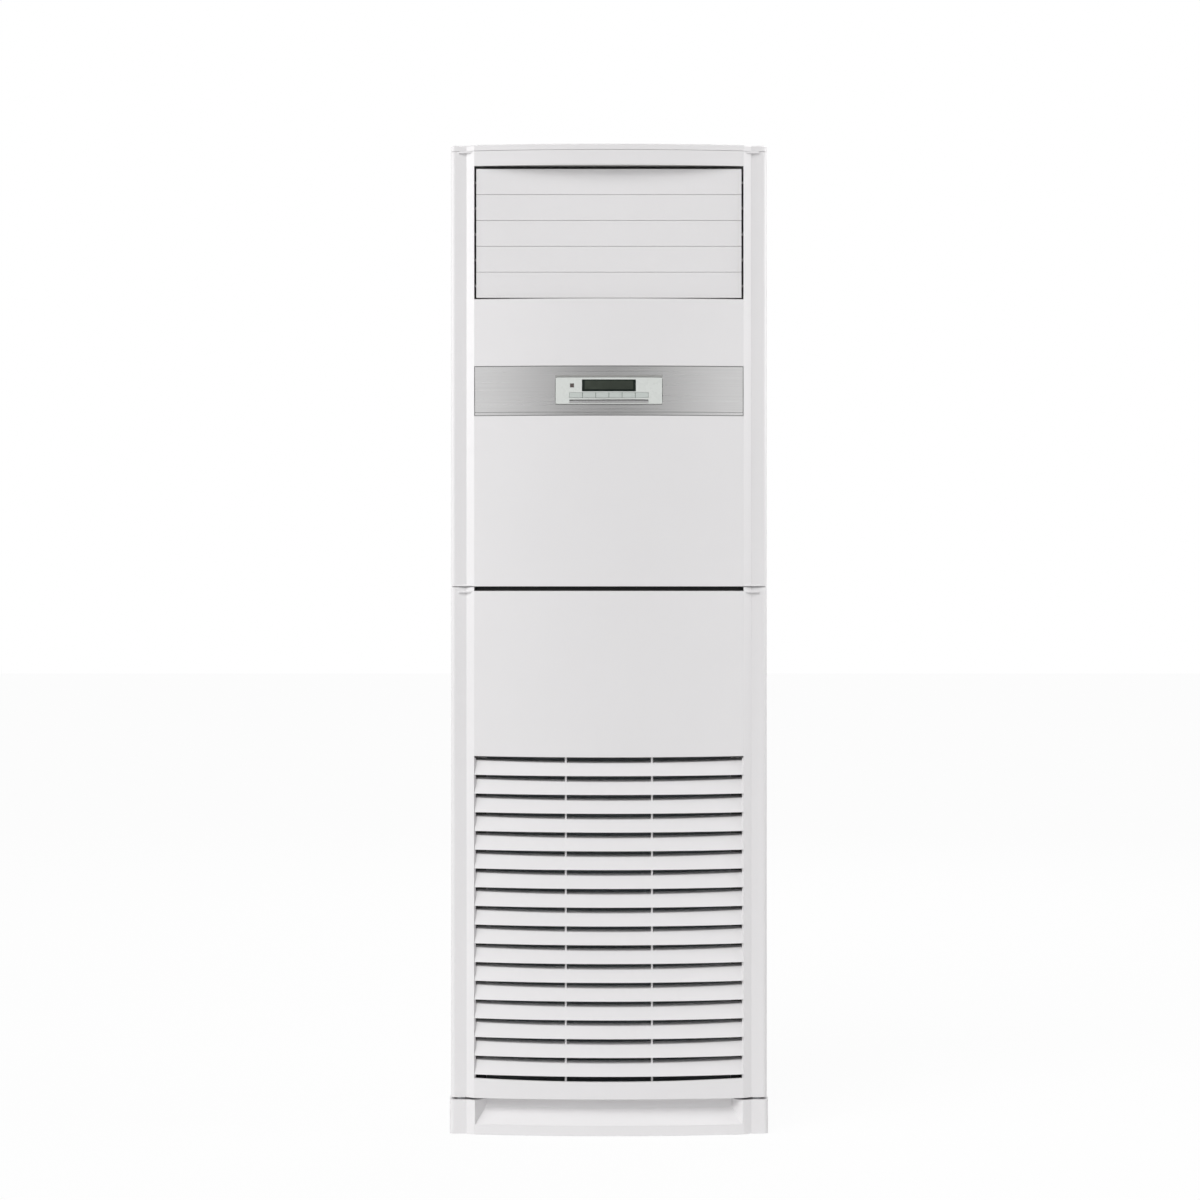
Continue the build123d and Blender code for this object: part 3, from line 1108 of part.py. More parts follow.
def drain_pan():
    """The tray under the coil and its drain spigot."""
    half, z, wall = SIDE_INSIDE - PAN_WIDTH_GAP, (DRAIN_BOTTOM, DRAIN_TOP), DRAIN_WALL
    pan = block((-half, half), (DRAIN_FRONT, DRAIN_BACK), z)
    pan -= block((wall - half, half - wall), (DRAIN_FRONT + wall, DRAIN_BACK - wall), (z[0] + wall, z[1]))
    y, end = (DRAIN_FRONT + DRAIN_BACK) / 2, z[0] - SPIGOT_LENGTH
    pan += rod(SPIGOT_RADIUS, (SPIGOT_X, y, z[0] + PAST), (SPIGOT_X, y, end))
    return pan - rod(SPIGOT_BORE, (SPIGOT_X, y, z[0] + 2 * wall), (SPIGOT_X, y, end - PAST))


def control_box():
    """The steel box for the electrics, open at the front."""
    z = (PARTITION_Z + PARTITION_WALL, PARTITION_Z + PARTITION_WALL + BOX_HEIGHT)
    floor, inner, back = z[0] + BOX_WALL, BOX_HALF - BOX_WALL, BOX_BACK - BOX_WALL
    box = block((-BOX_HALF, BOX_HALF), (BOX_FRONT, BOX_BACK), z)
    box -= block((-inner, inner), (BOX_FRONT, back), (floor, z[1] - BOX_WALL))
    y = back - CAPACITOR_RADIUS - BOX_WALL
    box += rod(CAPACITOR_RADIUS, (CAPACITOR_X, y, floor), (CAPACITOR_X, y, floor + CAPACITOR_HEIGHT))
    left = POWER_BOARD_LEFT - BOX_HALF
    tall = (z[0] + POWER_BOARD_MARGIN, z[1] - POWER_BOARD_MARGIN)
    return box + block((left, left + POWER_BOARD_WIDTH), (back - POWER_BOARD_THICK, back), tall)


def control_box_lid():
    """The lid on the front of the control box, with its vents."""
    z, y = PARTITION_Z + PARTITION_WALL, (BOX_FRONT - BOX_WALL, BOX_FRONT)
    lid = block((-BOX_HALF, BOX_HALF), y, (z + SEAT, z + BOX_HEIGHT))
    vent, high = Rectangle(LID_SLOT_WIDTH, LID_SLOT_HEIGHT), z + BOX_HEIGHT - LID_SLOT_DROP
    first = -LID_SLOT_PITCH * (LID_SLOT_COUNT - 1) / 2
    return lid - [slab_y(vent, y, first + i * LID_SLOT_PITCH, high) for i in range(LID_SLOT_COUNT)]


def air_duct_liner():
    """The foam guide that turns the air from the coil forward to the outlet."""
    front, half, z = FRAME_BACK + SEAT, PANEL_HALF + LINER_SIDE, (LINER_BOTTOM, LINER_TOP)
    lip, foot = (front, DUCT_TOP), (LINER_INNER, z[0])
    outside = Polyline(foot, (LINER_BACK, z[0]), (LINER_BACK, z[1]), (front, z[1]), lip)
    turned = make_face(Curve() + [SagittaArc(lip, foot, LINER_BULGE), outside])
    section = Plane.YZ.offset(-half) * turned
    return extrude(section, 2 * half) + both_sides(block((PANEL_HALF, half), (front, LINER_BACK), z))


# ---- pipes and exits ----
def pipe(radius, points):
    """One pipe from the coil's left end down to its flare union."""
    x, y, z = points[-1]
    nut = extrude(Pos(x, y, z) * RegularPolygon(radius + NUT_EXTRA, 6), NUT_HEIGHT)
    neck = Pos(x, y, z + NUT_HEIGHT + NUT_EXTRA / 4)
    nut += neck * Cone(radius + NUT_EXTRA * 2 / 3, radius + NUT_EXTRA / 6, NUT_EXTRA / 2)
    stub = rod(radius + NUT_EXTRA / 3, (x, y, z - FLARE_LENGTH), (x, y, z))
    return bent_rod(radius, points, PIPE_BEND) + [nut, stub]


def gas_points():
    """The gas pipe's corners: from the coil's lowest tube to the back, and down."""
    start = coil_point(COIL_LENGTH / TUBE_COUNT / 2, -COIL_HALF - END_PLATE)
    return [tuple(start), (PIPE_X, start.Y, start.Z), (PIPE_X, GAS_Y, start.Z), (PIPE_X, GAS_Y, PIPE_END)]


def liquid_points():
    """The liquid pipe's corners: from the coil's highest tube straight down."""
    start = coil_point(COIL_LENGTH * (1 - 0.5 / TUBE_COUNT), -COIL_HALF - END_PLATE)
    return [tuple(start), (PIPE_X, start.Y, start.Z), (PIPE_X, start.Y, PIPE_END)]


def gas_pipe():
    """The wider pipe."""
    return pipe(GAS_RADIUS, gas_points())


def liquid_pipe():
    """The narrower pipe."""
    return pipe(LIQUID_RADIUS, liquid_points())


def pipe_grommet():
    """The collar that lines the pipe exit in the rear panel."""
    inside, lip, outer = BACK_INSIDE - GROMMET_DEPTH, BACK_Y + GROMMET_WALL, EXIT_BORE + GROMMET_WALL
    collar = rod(outer, (EXIT_X, inside, EXIT_Z), (EXIT_X, lip, EXIT_Z))
    collar += rod(outer + GROMMET_LIP, (EXIT_X, BACK_Y, EXIT_Z), (EXIT_X, lip, EXIT_Z))
    return collar - rod(EXIT_BORE, (EXIT_X, inside - PAST, EXIT_Z), (EXIT_X, lip + PAST, EXIT_Z))


def cable_gland():
    """The gland where a supply cable would enter."""
    inside, out = BACK_INSIDE - GLAND_INSIDE, DEPTH / 2 - GLAND_WALL_GAP
    gland = rod(GLAND_THREAD, (GLAND_X, inside, GLAND_Z), (GLAND_X, BACK_Y, GLAND_Z))
    for y in ((BACK_Y, out), (BACK_INSIDE - GLAND_LOCKNUT, BACK_INSIDE)):
        gland += slab_y(RegularPolygon(GLAND_NUT, 6), y, GLAND_X, GLAND_Z)
    return gland - rod(GLAND_BORE, (GLAND_X, inside - PAST, GLAND_Z), (GLAND_X, out + PAST, GLAND_Z))


def wall_brackets():
    """The two stepped brackets that hold the unit's top to the wall."""
    half, step, wall_y, sheet = BRACKET_WIDTH / 2, BRACKET_STEP_Z, DEPTH / 2, BRACKET_SHEET
    x, z = (BRACKET_X - half, BRACKET_X + half), step + BRACKET_LEG / 2
    bracket = block(x, (BACK_Y, BACK_Y + sheet), (step - BRACKET_LEG, step))
    bracket += block(x, (BACK_Y, wall_y), (step - sheet, step))
    bracket += block(x, (wall_y - sheet, wall_y), (step - sheet, step + BRACKET_LEG))
    return both_sides(bracket - rod(BRACKET_HOLE, (BRACKET_X, BACK_Y + sheet, z), (BRACKET_X, DEPTH, z)))


# ---- every node and the solids in it ----
def numbered(name, count, make):
    """Alike pieces as separate nodes, numbered from 1."""
    return {f"{name}_{i + 1}": make(i) for i in range(count)}


def nodes():
    """Each node's name and its solid or solids."""
    right_side = right_side_panel()
    fixed = [base_plinth, base_pan, base_feet, rear_panel, top_cover, upper_front_panel, hinge_brackets]
    fixed += [trim_strip, display_bezel, display_window, indicator_lens, display_board, outlet_frame]
    fixed += [louver_motor, vane_motor, volute_casing, inlet_ring, fan_motor, motor_bracket]
    fixed += [partition_plate, evaporator_fins, evaporator_tubes, coil_end_plates, drain_pan]
    fixed += [control_box, control_box_lid, gas_pipe, liquid_pipe, air_duct_liner]
    fixed += [pipe_grommet, cable_gland, wall_brackets]
    moving = [lower_front_panel, filter_frame, filter_mesh, louver_link_bar, vane_link_bar]
    moving += [blower_wheel, fan_shaft]
    made = {make.__name__: make() for make in fixed + moving}
    made["right_side_panel"] = right_side
    made["left_side_panel"] = mirror(right_side, about=Plane.YZ)
    made |= numbered("key", KEY_COUNT, key)
    made |= numbered("louver", LOUVER_COUNT, louver)
    made |= numbered("vane", VANE_COUNT, vane)
    return made


def write_nodes():
    """Write each node to its own STEP file."""
    os.makedirs("parts", exist_ok=True)
    for name, made in nodes().items():
        shapes = made if isinstance(made, list) else [made]
        solids = [solid for shape in shapes for solid in shape.solids()]
        export_step(Compound(children=solids) if len(solids) > 1 else solids[0], f"parts/{name}.step")


write_nodes()
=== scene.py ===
"""Looks of the floor standing air conditioner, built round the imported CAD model.

Metres. +Z is up, the front faces -Y and +X is to the right as seen from the front.
"""

import json
import math

import bmesh
import bpy
from mathutils import Matrix, Vector


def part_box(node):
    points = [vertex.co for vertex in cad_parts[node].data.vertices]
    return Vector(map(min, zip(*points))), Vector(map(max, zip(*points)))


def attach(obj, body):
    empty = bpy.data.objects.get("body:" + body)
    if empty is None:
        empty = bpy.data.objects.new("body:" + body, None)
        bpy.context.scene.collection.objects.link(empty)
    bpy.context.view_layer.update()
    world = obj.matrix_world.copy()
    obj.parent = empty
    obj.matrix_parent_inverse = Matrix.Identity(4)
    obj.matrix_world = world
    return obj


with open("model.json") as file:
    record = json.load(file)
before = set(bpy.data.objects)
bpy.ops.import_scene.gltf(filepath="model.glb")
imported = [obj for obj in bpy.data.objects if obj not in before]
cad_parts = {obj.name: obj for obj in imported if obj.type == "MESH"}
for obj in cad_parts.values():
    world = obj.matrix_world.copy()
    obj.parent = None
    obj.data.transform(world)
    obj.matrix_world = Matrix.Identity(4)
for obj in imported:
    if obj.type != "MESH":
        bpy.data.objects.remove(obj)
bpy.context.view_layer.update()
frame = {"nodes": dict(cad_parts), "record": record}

NODES = frame["nodes"]

# ---- camera ----
CAMERA_PLACE = (-0.0157, -4.975, 0.945)
CAMERA_LENS = 81.6
UPRIGHT = (math.radians(90), 0, 0)  # the turn of a level camera or an upright card

# ---- light ----
AMBIENT = 0.22
LAMPS = {  # place, aim, width, height, watts
    "lamp_left": ((-2.3, -1.0, 1.85), (0, -0.17, 2.4), 0.9, 1.4, 17.5),
    "lamp_right": ((2.3, -0.35, 1.85), (0, -0.17, 2.4), 0.9, 1.4, 28),
    "lamp_back": ((0.9, 4.2, 3.4), (0, 0.1, 0.9), 3.0, 2.0, 60),
}
FAR_LIGHT = 1.94  # even from top to bottom
FAR_ELEVATION, FAR_AZIMUTH, FAR_SPREAD = 42, -31, 40  # degrees

# ---- floor and card ----
FLOOR_SIZE = 60
FLOOR_COLOUR = (0.85, 0.85, 0.85)
FLOOR_ROUGHNESS = 0.9
FLOOR_GLOW = 0.94  # share of the floor that is plain white where it is seen
CARD_PLACE = (0, -4.4, 1.72)  # close before the camera, which doesn't see it
CARD_SIZE = (1.5, 3.0)
CARD_COLOUR = (0.03, 0.03, 0.03)
CARD_ROUGHNESS = 0.5

# ---- materials ----
NOISE_RANGE = (0.25, 0.75)  # where most of a noise's values lie
EDGE_SAMPLES = 4
SHELL = (0.8, 0.789, 0.796)
LEVEL_BRUSH = (3, 3, 900)  # level lines across the front
SHAFT_BRUSH = (600, 20, 600)  # lines along the shaft
FINE_BRUSH = (300, 300, 300)

# ---- mesh code ----
SHARP_ANGLE = math.radians(35)
WELD = 1e-7

# ---- screw heads ----
SCREW_RADIUS = 0.0036
SCREW_HEIGHT = 0.0021
SCREW_SEGMENTS = 32
SCREW_RINGS = 8
RIM_DROP = 0.45  # share of the head's height that its rim lies lower
RECESS_HALF = 0.0005
RECESS_REACH = 0.0022
RECESS_DEPTH = 0.0011

# ---- where the screws sit ----
REAR_RIB = 0.002  # the pressed ribs stand this far behind the rear sheet
REAR_INSET = 0.0065  # from the sheet's upright edges
REAR_HEIGHTS = (0.1, 0.33, 0.66, 0.99, 1.28, 1.6, 1.725)
BRACKET_X = 0.19
BRACKET_STEP = 0.009  # from the middle of the bracket
BRACKET_SHEET = 0.0015
BRACKET_RISE = 0.018  # above the lower edge of the bracket's leg
LID_INSET = (0.008, 0.01)  # from the lid's edges, along x and z
SCROLL_X = (-0.165, 0.115)
SCROLL_INSET = 0.008
SCROLL_WALL = 0.0015
MOTOR_REACH = 0.1175  # from the motor's axis
MOTOR_SEAT = 0.003

# ---- the bowed front ----
PANEL_HALF = 0.238
BOW_RISE = 0.016
BOW_RADIUS = (PANEL_HALF**2 + BOW_RISE**2) / (2 * BOW_RISE)
BOW_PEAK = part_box("upper_front_panel")[0].y

# ---- thin trim, and dark bars of painted shade ----
DOME = ((0, 0), (0.15, 0.8), (0.5, 1), (0.85, 0.8), (1, 0))  # share of the width, of the height
COLUMN_WIDTH = 0.01
LINE_WIDTH = 0.0009
LINE_PROUD = 0.00025
LINE_SUNK = 0.0006
LIFT_SHARE = 0.95  # how far an inlay's edges stand up in the piece that it lies on
SEAM = 0.008  # between the two front panels
# painted shade in the seam between the front panels: where its dark bar lies
SEAM_SHADE_SIDE = 0.002  # inside the edges of the bow
SEAM_SHADE_SETBACK = 0.008
SEAM_SHADE_DEPTH = 0.006
SEAM_SHADE_GAP = 0.001
LOW_LINE_RISE = 0.0055  # above the strip's lower edge
BEZEL_PROUD = 0.001
BROW_SHADE_HEIGHT = 0.0036  # painted shade: the darker metal over the bezel
# painted shade under the keys: the dark groove bar's size and place
GROOVE_HALF = 0.0695
GROOVE_HEIGHT = 0.0022
GROOVE_DROP = 0.0177  # below the bezel's middle
LIP_RISE = 0.0008  # above the bezel's lower edge
GLASS_SIDE = 0.0045  # inside the window's edges
GLASS_FOOT = 0.0032
GLASS_HEAD = 0.001
GUIDE_FACE = 0.0027  # the filter guides' faces, in front of the filter's frame
# painted shade on the filter's guides: where the dark strips lie
SHADE_STRIP_INSIDE, SHADE_STRIP_OUTSIDE = 0.0085, 0.0105  # from the edge of the filter's frame
SHADE_STRIP_FOOT, SHADE_STRIP_HEAD = -0.002, 0.574  # above the foot of the filter's frame
SHADE_STRIP_PROUD = 0.0005


# ---- materials ----
class Finish:
    """A Principled material with procedural textures in the part's own coordinates."""

    def __init__(self, name, colour, roughness, metallic=0.0, **values):
        self.material = bpy.data.materials.new(name)
        self.material.use_nodes = True
        self.tree = self.material.node_tree
        self.shader = self.tree.nodes["Principled BSDF"]
        self.colour = (*colour, 1.0)
        self.normal = None
        self.set("Base Color", self.colour)
        self.set("Roughness", roughness)
        self.set("Metallic", metallic)
        for key, value in values.items():
            self.set(key, value)

    def set(self, socket, value):
        self.shader.inputs[socket].default_value = value

    def add(self, kind, **values):
        """A node, with values for its inputs and its own settings."""
        node = self.tree.nodes.new(kind)
        for key, value in values.items():
            if key in node.inputs:
                node.inputs[key].default_value = value
            else:
                setattr(node, key, value)
        return node

    def link(self, source, target):
        self.tree.links.new(source, target)

    def place(self, stretch=(1, 1, 1)):
        """Object coordinates, stretched along each axis."""
        where = self.add("ShaderNodeTexCoord")
        mapping = self.add("ShaderNodeMapping", Scale=stretch)
        self.link(where.outputs["Object"], mapping.inputs["Vector"])
        return mapping.outputs["Vector"]

    def noise(self, scale, detail=3.0, stretch=(1, 1, 1)):
        node = self.add("ShaderNodeTexNoise", Scale=scale, Detail=detail)
        self.link(self.place(stretch), node.inputs["Vector"])
        return node.outputs["Fac"]

    def cells(self, scale, output):
        node = self.add("ShaderNodeTexVoronoi", Scale=scale)
        self.link(self.place(), node.inputs["Vector"])
        return node.outputs[output]

    def waves(self, axis, scale):
        node = self.add("ShaderNodeTexWave", Scale=scale, bands_direction=axis)
        self.link(self.place(), node.inputs["Vector"])
        return node.outputs["Fac"]

    def vary(self, source, low, high):
        """The source's value sets the roughness between low and high."""
        ranges = ("From Min", "From Max", "To Min", "To Max")
        values = dict(zip(ranges, (*NOISE_RANGE, low, high)))
        ranged = self.add("ShaderNodeMapRange", **values)
        self.link(source, ranged.inputs["Value"])
        self.link(ranged.outputs["Result"], self.shader.inputs["Roughness"])
        return self

    def tint(self, source, other, low=0.3, high=0.7):
        """The colour goes to another one where the source is high."""
        ramp = self.add("ShaderNodeValToRGB")
        first, last = ramp.color_ramp.elements
        first.position, first.color = low, self.colour
        last.position, last.color = high, (*other, 1.0)
        self.link(source, ramp.inputs["Fac"])
        self.link(ramp.outputs["Color"], self.shader.inputs["Base Color"])
        return self

    def bump(self, source, strength, distance):
        node = self.add("ShaderNodeBump", Strength=strength, Distance=distance)
        self.link(source, node.inputs["Height"])
        if self.normal is not None:
            self.link(self.normal, node.inputs["Normal"])
        return self.use_normal(node)

    def soften(self, radius):
        """Edges that catch the light as a small round would."""
        return self.use_normal(self.add("ShaderNodeBevel", samples=EDGE_SAMPLES, Radius=radius))

    def use_normal(self, node):
        """The node's normal becomes the shader's."""
        self.normal = node.outputs["Normal"]
        self.link(self.normal, self.shader.inputs["Normal"])
        return self


def shaded(colour, factor):
    """A colour made lighter or darker."""
    return tuple(channel * factor for channel in colour)


def moulded(name, colour, roughness, grain=0.25, edge=0.0008):
    """Moulded plastic: soft edges, fine grain and slightly uneven gloss."""
    finish = Finish(name, colour, roughness, IOR=1.48)
    finish.soften(edge)
    finish.tint(finish.noise(scale=5.0), shaded(colour, 0.985))
    finish.vary(finish.noise(scale=60.0), roughness - 0.05, roughness + 0.05)
    return finish.bump(finish.noise(scale=2600.0, detail=2.0), grain, distance=0.00004)


def painted(name, colour, roughness):
    """Powder paint on sheet metal, with its fine orange peel."""
    finish = Finish(name, colour, roughness, IOR=1.5)
    finish.soften(radius=0.0006)
    finish.tint(finish.noise(scale=3.0), shaded(colour, 0.98))
    finish.vary(finish.noise(scale=45.0), roughness - 0.04, roughness + 0.06)
    return finish.bump(finish.noise(scale=700.0, detail=2.0), strength=0.3, distance=0.00006)


def galvanised(name, colour):
    """Zinc coated sheet with its crystal spangle."""
    finish = Finish(name, colour, roughness=0.4, metallic=1.0)
    cells = finish.cells(scale=110.0, output="Color")
    finish.tint(cells, shaded(colour, 0.78), low=0.2, high=0.9)
    finish.vary(cells, low=0.32, high=0.5)
    return finish.bump(finish.noise(scale=900.0), strength=0.15, distance=0.00004)


def brushed(name, colour, roughness, stretch):
    """Metal with fine parallel brush lines."""
    finish = Finish(name, colour, roughness, metallic=1.0, Anisotropic=0.5)
    lines = finish.noise(scale=1.0, detail=4.0, stretch=stretch)
    finish.tint(lines, shaded(colour, 0.92))
    finish.vary(lines, roughness - 0.05, roughness + 0.07)
    return finish.bump(lines, strength=0.12, distance=0.00003)


def drawn_tube(name, colour, tarnish):
    """Drawn copper tube, slightly tarnished."""
    finish = Finish(name, colour, roughness=0.28, metallic=1.0)
    finish.tint(finish.noise(scale=22.0), tarnish, low=0.45, high=0.75)
    finish.vary(finish.noise(scale=80.0), low=0.2, high=0.42)
    lines = finish.noise(scale=900.0, detail=2.0, stretch=(1, 1, 0.1))
    return finish.bump(lines, strength=0.15, distance=0.00004)


def fin_pack(name, colour):
    """Closely spaced coated fins, upright across the coil, with painted shade in the dark bands
    between the fins.
    """
    finish = Finish(name, colour, roughness=0.35, metallic=0.85)
    lines = finish.waves("X", scale=100.0)
    # painted shade: the dark bands in the gaps between the fins
    finish.tint(lines, shaded(colour, 0.35), low=0.2, high=0.9)
    finish.vary(finish.noise(scale=70.0), low=0.28, high=0.45)
    return finish.bump(lines, strength=0.8, distance=0.0006)


def bead_foam(name, colour):
    """Expanded foam with its pressed beads, and painted shade in the crevices between them."""
    finish = Finish(name, colour, roughness=0.9)
    beads = finish.cells(scale=320.0, output="Distance")
    # painted shade: darker at the beads' edges, in the crevices between them
    finish.tint(beads, shaded(colour, 0.9), low=0.1, high=0.8)
    finish.vary(finish.noise(scale=90.0), low=0.82, high=0.95)
    return finish.bump(beads, strength=0.5, distance=0.0004)


def woven_net(name, colour):
    """A plain woven net of fine dark threads, with painted shade in the gaps between them."""
    finish = Finish(name, colour, roughness=0.8)
    across, up = finish.waves("X", scale=260.0), finish.waves("Z", scale=260.0)
    threads = finish.add("ShaderNodeMath", operation="MAXIMUM")
    finish.link(across, threads.inputs[0])
    finish.link(up, threads.inputs[1])
    # painted shade: darker in the gaps between the threads
    finish.tint(threads.outputs[0], shaded(colour, 0.25), low=0.95, high=0.6)
    finish.vary(finish.noise(scale=120.0), low=0.7, high=0.9)
    return finish.bump(threads.outputs[0], strength=0.7, distance=0.0003)


def smoked_lens(name, colour):
    """Dark glossy lens or display glass."""
    finish = Finish(name, colour, roughness=0.2, IOR=1.4)
    finish.tint(finish.noise(scale=40.0, detail=2.0), shaded(colour, 1.4), low=0.3, high=0.8)
    return finish.vary(finish.noise(scale=160.0), low=0.16, high=0.26)


def circuit(name, colour, track):
    """Lacquered circuit board."""
    finish = Finish(name, colour, roughness=0.3, IOR=1.5)
    finish.tint(finish.cells(scale=260.0, output="Distance"), track, low=0.2, high=0.4)
    return finish.vary(finish.noise(scale=200.0), low=0.25, high=0.4)


def dark_rubber(name, colour, roughness):
    """Rubber or dark moulding with a dull uneven skin."""
    finish = Finish(name, colour, roughness)
    finish.soften(radius=0.0006)
    finish.tint(finish.noise(scale=30.0), shaded(colour, 1.5))
    finish.vary(finish.noise(scale=140.0), roughness - 0.06, roughness + 0.08)
    return finish.bump(finish.noise(scale=1500.0, detail=2.0), strength=0.35, distance=0.00006)


FINISHES = {  # by the record's material slot
    "body_plastic": moulded("shell_plastic", SHELL, 0.36),
    "louver_plastic": moulded("louver_plastic", SHELL, 0.36),
    "plinth_plastic": moulded("plinth_plastic", SHELL, 0.4),
    "cabinet_paint": painted("cabinet_paint", (0.78, 0.78, 0.77), 0.38),
    "zinc_sheet": galvanised("zinc_sheet", (0.56, 0.58, 0.6)),
    "trim_metal": brushed("trim_metal", (0.72, 0.715, 0.715), 0.3, LEVEL_BRUSH),
    "bezel_plastic": moulded("bezel_plastic", (0.7, 0.725, 0.7), 0.28, grain=0.1, edge=0.0004),
    "key_plastic": moulded("key_plastic", (0.56, 0.6, 0.575), 0.3, grain=0.1, edge=0.0004),
    "lens_plastic": smoked_lens("lens_plastic", (0.012, 0.017, 0.014)),
    "board": circuit("board_lacquer", (0.02, 0.12, 0.05), (0.04, 0.18, 0.08)),
    "duct_plastic": moulded("duct_plastic", (0.62, 0.62, 0.61), 0.5),
    "vane_plastic": moulded("vane_plastic", (0.74, 0.74, 0.73), 0.42),
    "link_plastic": moulded("link_plastic", (0.6, 0.6, 0.59), 0.45),
    "gear_motor": painted("gear_motor_can", (0.55, 0.56, 0.57), 0.35),
    "wheel_plastic": dark_rubber("wheel_plastic", (0.05, 0.05, 0.052), 0.45),
    "shaft_steel": brushed("shaft_steel", (0.6, 0.6, 0.6), 0.25, SHAFT_BRUSH),
    "motor_paint": painted("motor_paint", (0.03, 0.03, 0.032), 0.32),
    "fins": fin_pack("coated_fins", (0.5, 0.58, 0.66)),
    "copper": drawn_tube("drawn_copper", (0.75, 0.41, 0.26), (0.5, 0.24, 0.15)),
    "foam": bead_foam("bead_foam", (0.82, 0.82, 0.8)),
    "rubber": dark_rubber("black_rubber", (0.025, 0.025, 0.025), 0.7),
    "feet_plastic": dark_rubber("feet_plastic", (0.035, 0.035, 0.035), 0.5),
    "gland_plastic": dark_rubber("gland_plastic", (0.04, 0.04, 0.04), 0.42),
    "filter_plastic": dark_rubber("filter_plastic", (0.09, 0.1, 0.105), 0.5),
    "filter_net": woven_net("woven_net", (0.16, 0.18, 0.19)),
}
TRIM_METAL, RUBBER = FINISHES["trim_metal"], FINISHES["rubber"]
INDICATOR = smoked_lens("indicator_lens", (0.11, 0.09, 0.085))
SCREW_STEEL = brushed("screw_steel", (0.66, 0.66, 0.65), 0.3, FINE_BRUSH)
# painted shade: darker metal for the shaded band over the bezel
BROW_SHADE_METAL = brushed("brow_shade_metal", (0.5, 0.5, 0.485), 0.3, LEVEL_BRUSH)
# painted shade: dark metal for the shaded grooves round the trim strip
SHADE_LINE_METAL = brushed("shade_line_metal", (0.22, 0.22, 0.22), 0.35, FINE_BRUSH)
DISPLAY_GLASS = smoked_lens("display_glass", (0.039, 0.046, 0.037))


def dress_nodes():
    """Give each CAD node the finish of its slot, and the indicator a paler lens."""
    for entry in frame["record"]["subparts"]:
        node, slot = entry["node"], entry["material_slot"]
        finish = INDICATOR if node == "indicator_lens" else FINISHES[slot]
        slots = NODES[node].data.materials
        slots.clear()
        slots.append(finish.material)


# ---- pieces ----
def add_object(name, data):
    """An object of the scene that shows the data."""
    item = bpy.data.objects.new(name, data)
    bpy.context.scene.collection.objects.link(item)
    return item


def add_piece(name, mesh, finish, body):
    """The mesh becomes a piece of that body, smooth with sharp edges."""
    data = bpy.data.meshes.new(name)
    mesh.to_mesh(data)
    piece = add_object(name, data)
    data.materials.append(finish.material)
    data.shade_smooth()
    data.set_sharp_from_angle(angle=SHARP_ANGLE)
    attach(piece, body)


def screw_mesh():
    """A pan head with a cross recess, standing on the origin along +Z."""
    mesh = bmesh.new()
    rings = []
    for ring in range(SCREW_RINGS + 1):
        share = ring / SCREW_RINGS
        radius = SCREW_RADIUS * share
        dome = SCREW_HEIGHT * (1 - RIM_DROP * share**3)
        row = []
        for step in range(SCREW_SEGMENTS):
            angle = 2 * math.pi * (step + 0.5) / SCREW_SEGMENTS
            x, y = radius * math.cos(angle), radius * math.sin(angle)
            inside = min(abs(x), abs(y)) < RECESS_HALF and radius < RECESS_REACH
            row.append(mesh.verts.new((x, y, dome - RECESS_DEPTH * inside)))
        rings.append(row)
    rings.append([mesh.verts.new((v.co.x, v.co.y, 0)) for v in rings[-1]])
    for inner, outer in zip(rings, rings[1:]):
        for i in range(SCREW_SEGMENTS):
            j = (i + 1) % SCREW_SEGMENTS
            mesh.faces.new((inner[i], outer[i], outer[j], inner[j]))
    mesh.faces.new(list(reversed(rings[-1])))
    bmesh.ops.remove_doubles(mesh, verts=mesh.verts, dist=WELD)
    return mesh


def screws(name, places, direction):
    """Screw heads at places on the unit, all facing one way, as one piece."""
    turn = Vector(direction).to_track_quat("Z", "Y").to_matrix().to_4x4()
    head, joined = bpy.data.meshes.new("screw"), bmesh.new()
    screw_mesh().to_mesh(head)
    for place in places:
        copy = head.copy()
        copy.transform(Matrix.Translation(place) @ turn)
        joined.from_mesh(copy)
        bpy.data.meshes.remove(copy)
    bpy.data.meshes.remove(head)
    add_piece(name, joined, SCREW_STEEL, "unit")


def place_screws():
    """The small fasteners of the sheets, the wall brackets, the scroll and the motor."""
    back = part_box("rear_panel")[1]
    sheet_y, edge = back.y - REAR_RIB, back.x - REAR_INSET
    spots = [(x, sheet_y, z) for x in (-edge, edge) for z in REAR_HEIGHTS]
    screws("rear_screws", spots, (0, 1, 0))

    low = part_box("wall_brackets")[0]
    leg_y, leg_z = sheet_y + BRACKET_SHEET, low.z + BRACKET_RISE
    steps = (-BRACKET_STEP, BRACKET_STEP)
    spots = [(x + step, leg_y, leg_z) for x in (-BRACKET_X, BRACKET_X) for step in steps]
    screws("bracket_screws", spots, (0, 1, 0))

    low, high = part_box("control_box_lid")
    across = (low.x + LID_INSET[0], high.x - LID_INSET[0])
    heights = (low.z + LID_INSET[1], high.z - LID_INSET[1])
    spots = [(x, low.y, z) for x in across for z in heights]
    screws("lid_screws", spots, (0, -1, 0))

    low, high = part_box("volute_casing")
    depths = (low.y + SCROLL_INSET, high.y - SCROLL_INSET)
    spots = [(x, y, low.z + SCROLL_WALL) for x in SCROLL_X for y in depths]
    screws("scroll_screws", spots, (0, 0, 1))

    low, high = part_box("motor_bracket")
    centre, reach, y = (low + high) / 2, MOTOR_REACH / math.sqrt(2), low.y + MOTOR_SEAT
    sides = (-reach, reach)
    spots = [(centre.x + x, y, centre.z + z) for x in sides for z in sides]
    screws("motor_screws", spots, (0, 1, 0))


def bow_y(x):
    """Where the bowed front lies at x."""
    return BOW_PEAK + BOW_RADIUS - math.sqrt(BOW_RADIUS**2 - x**2)


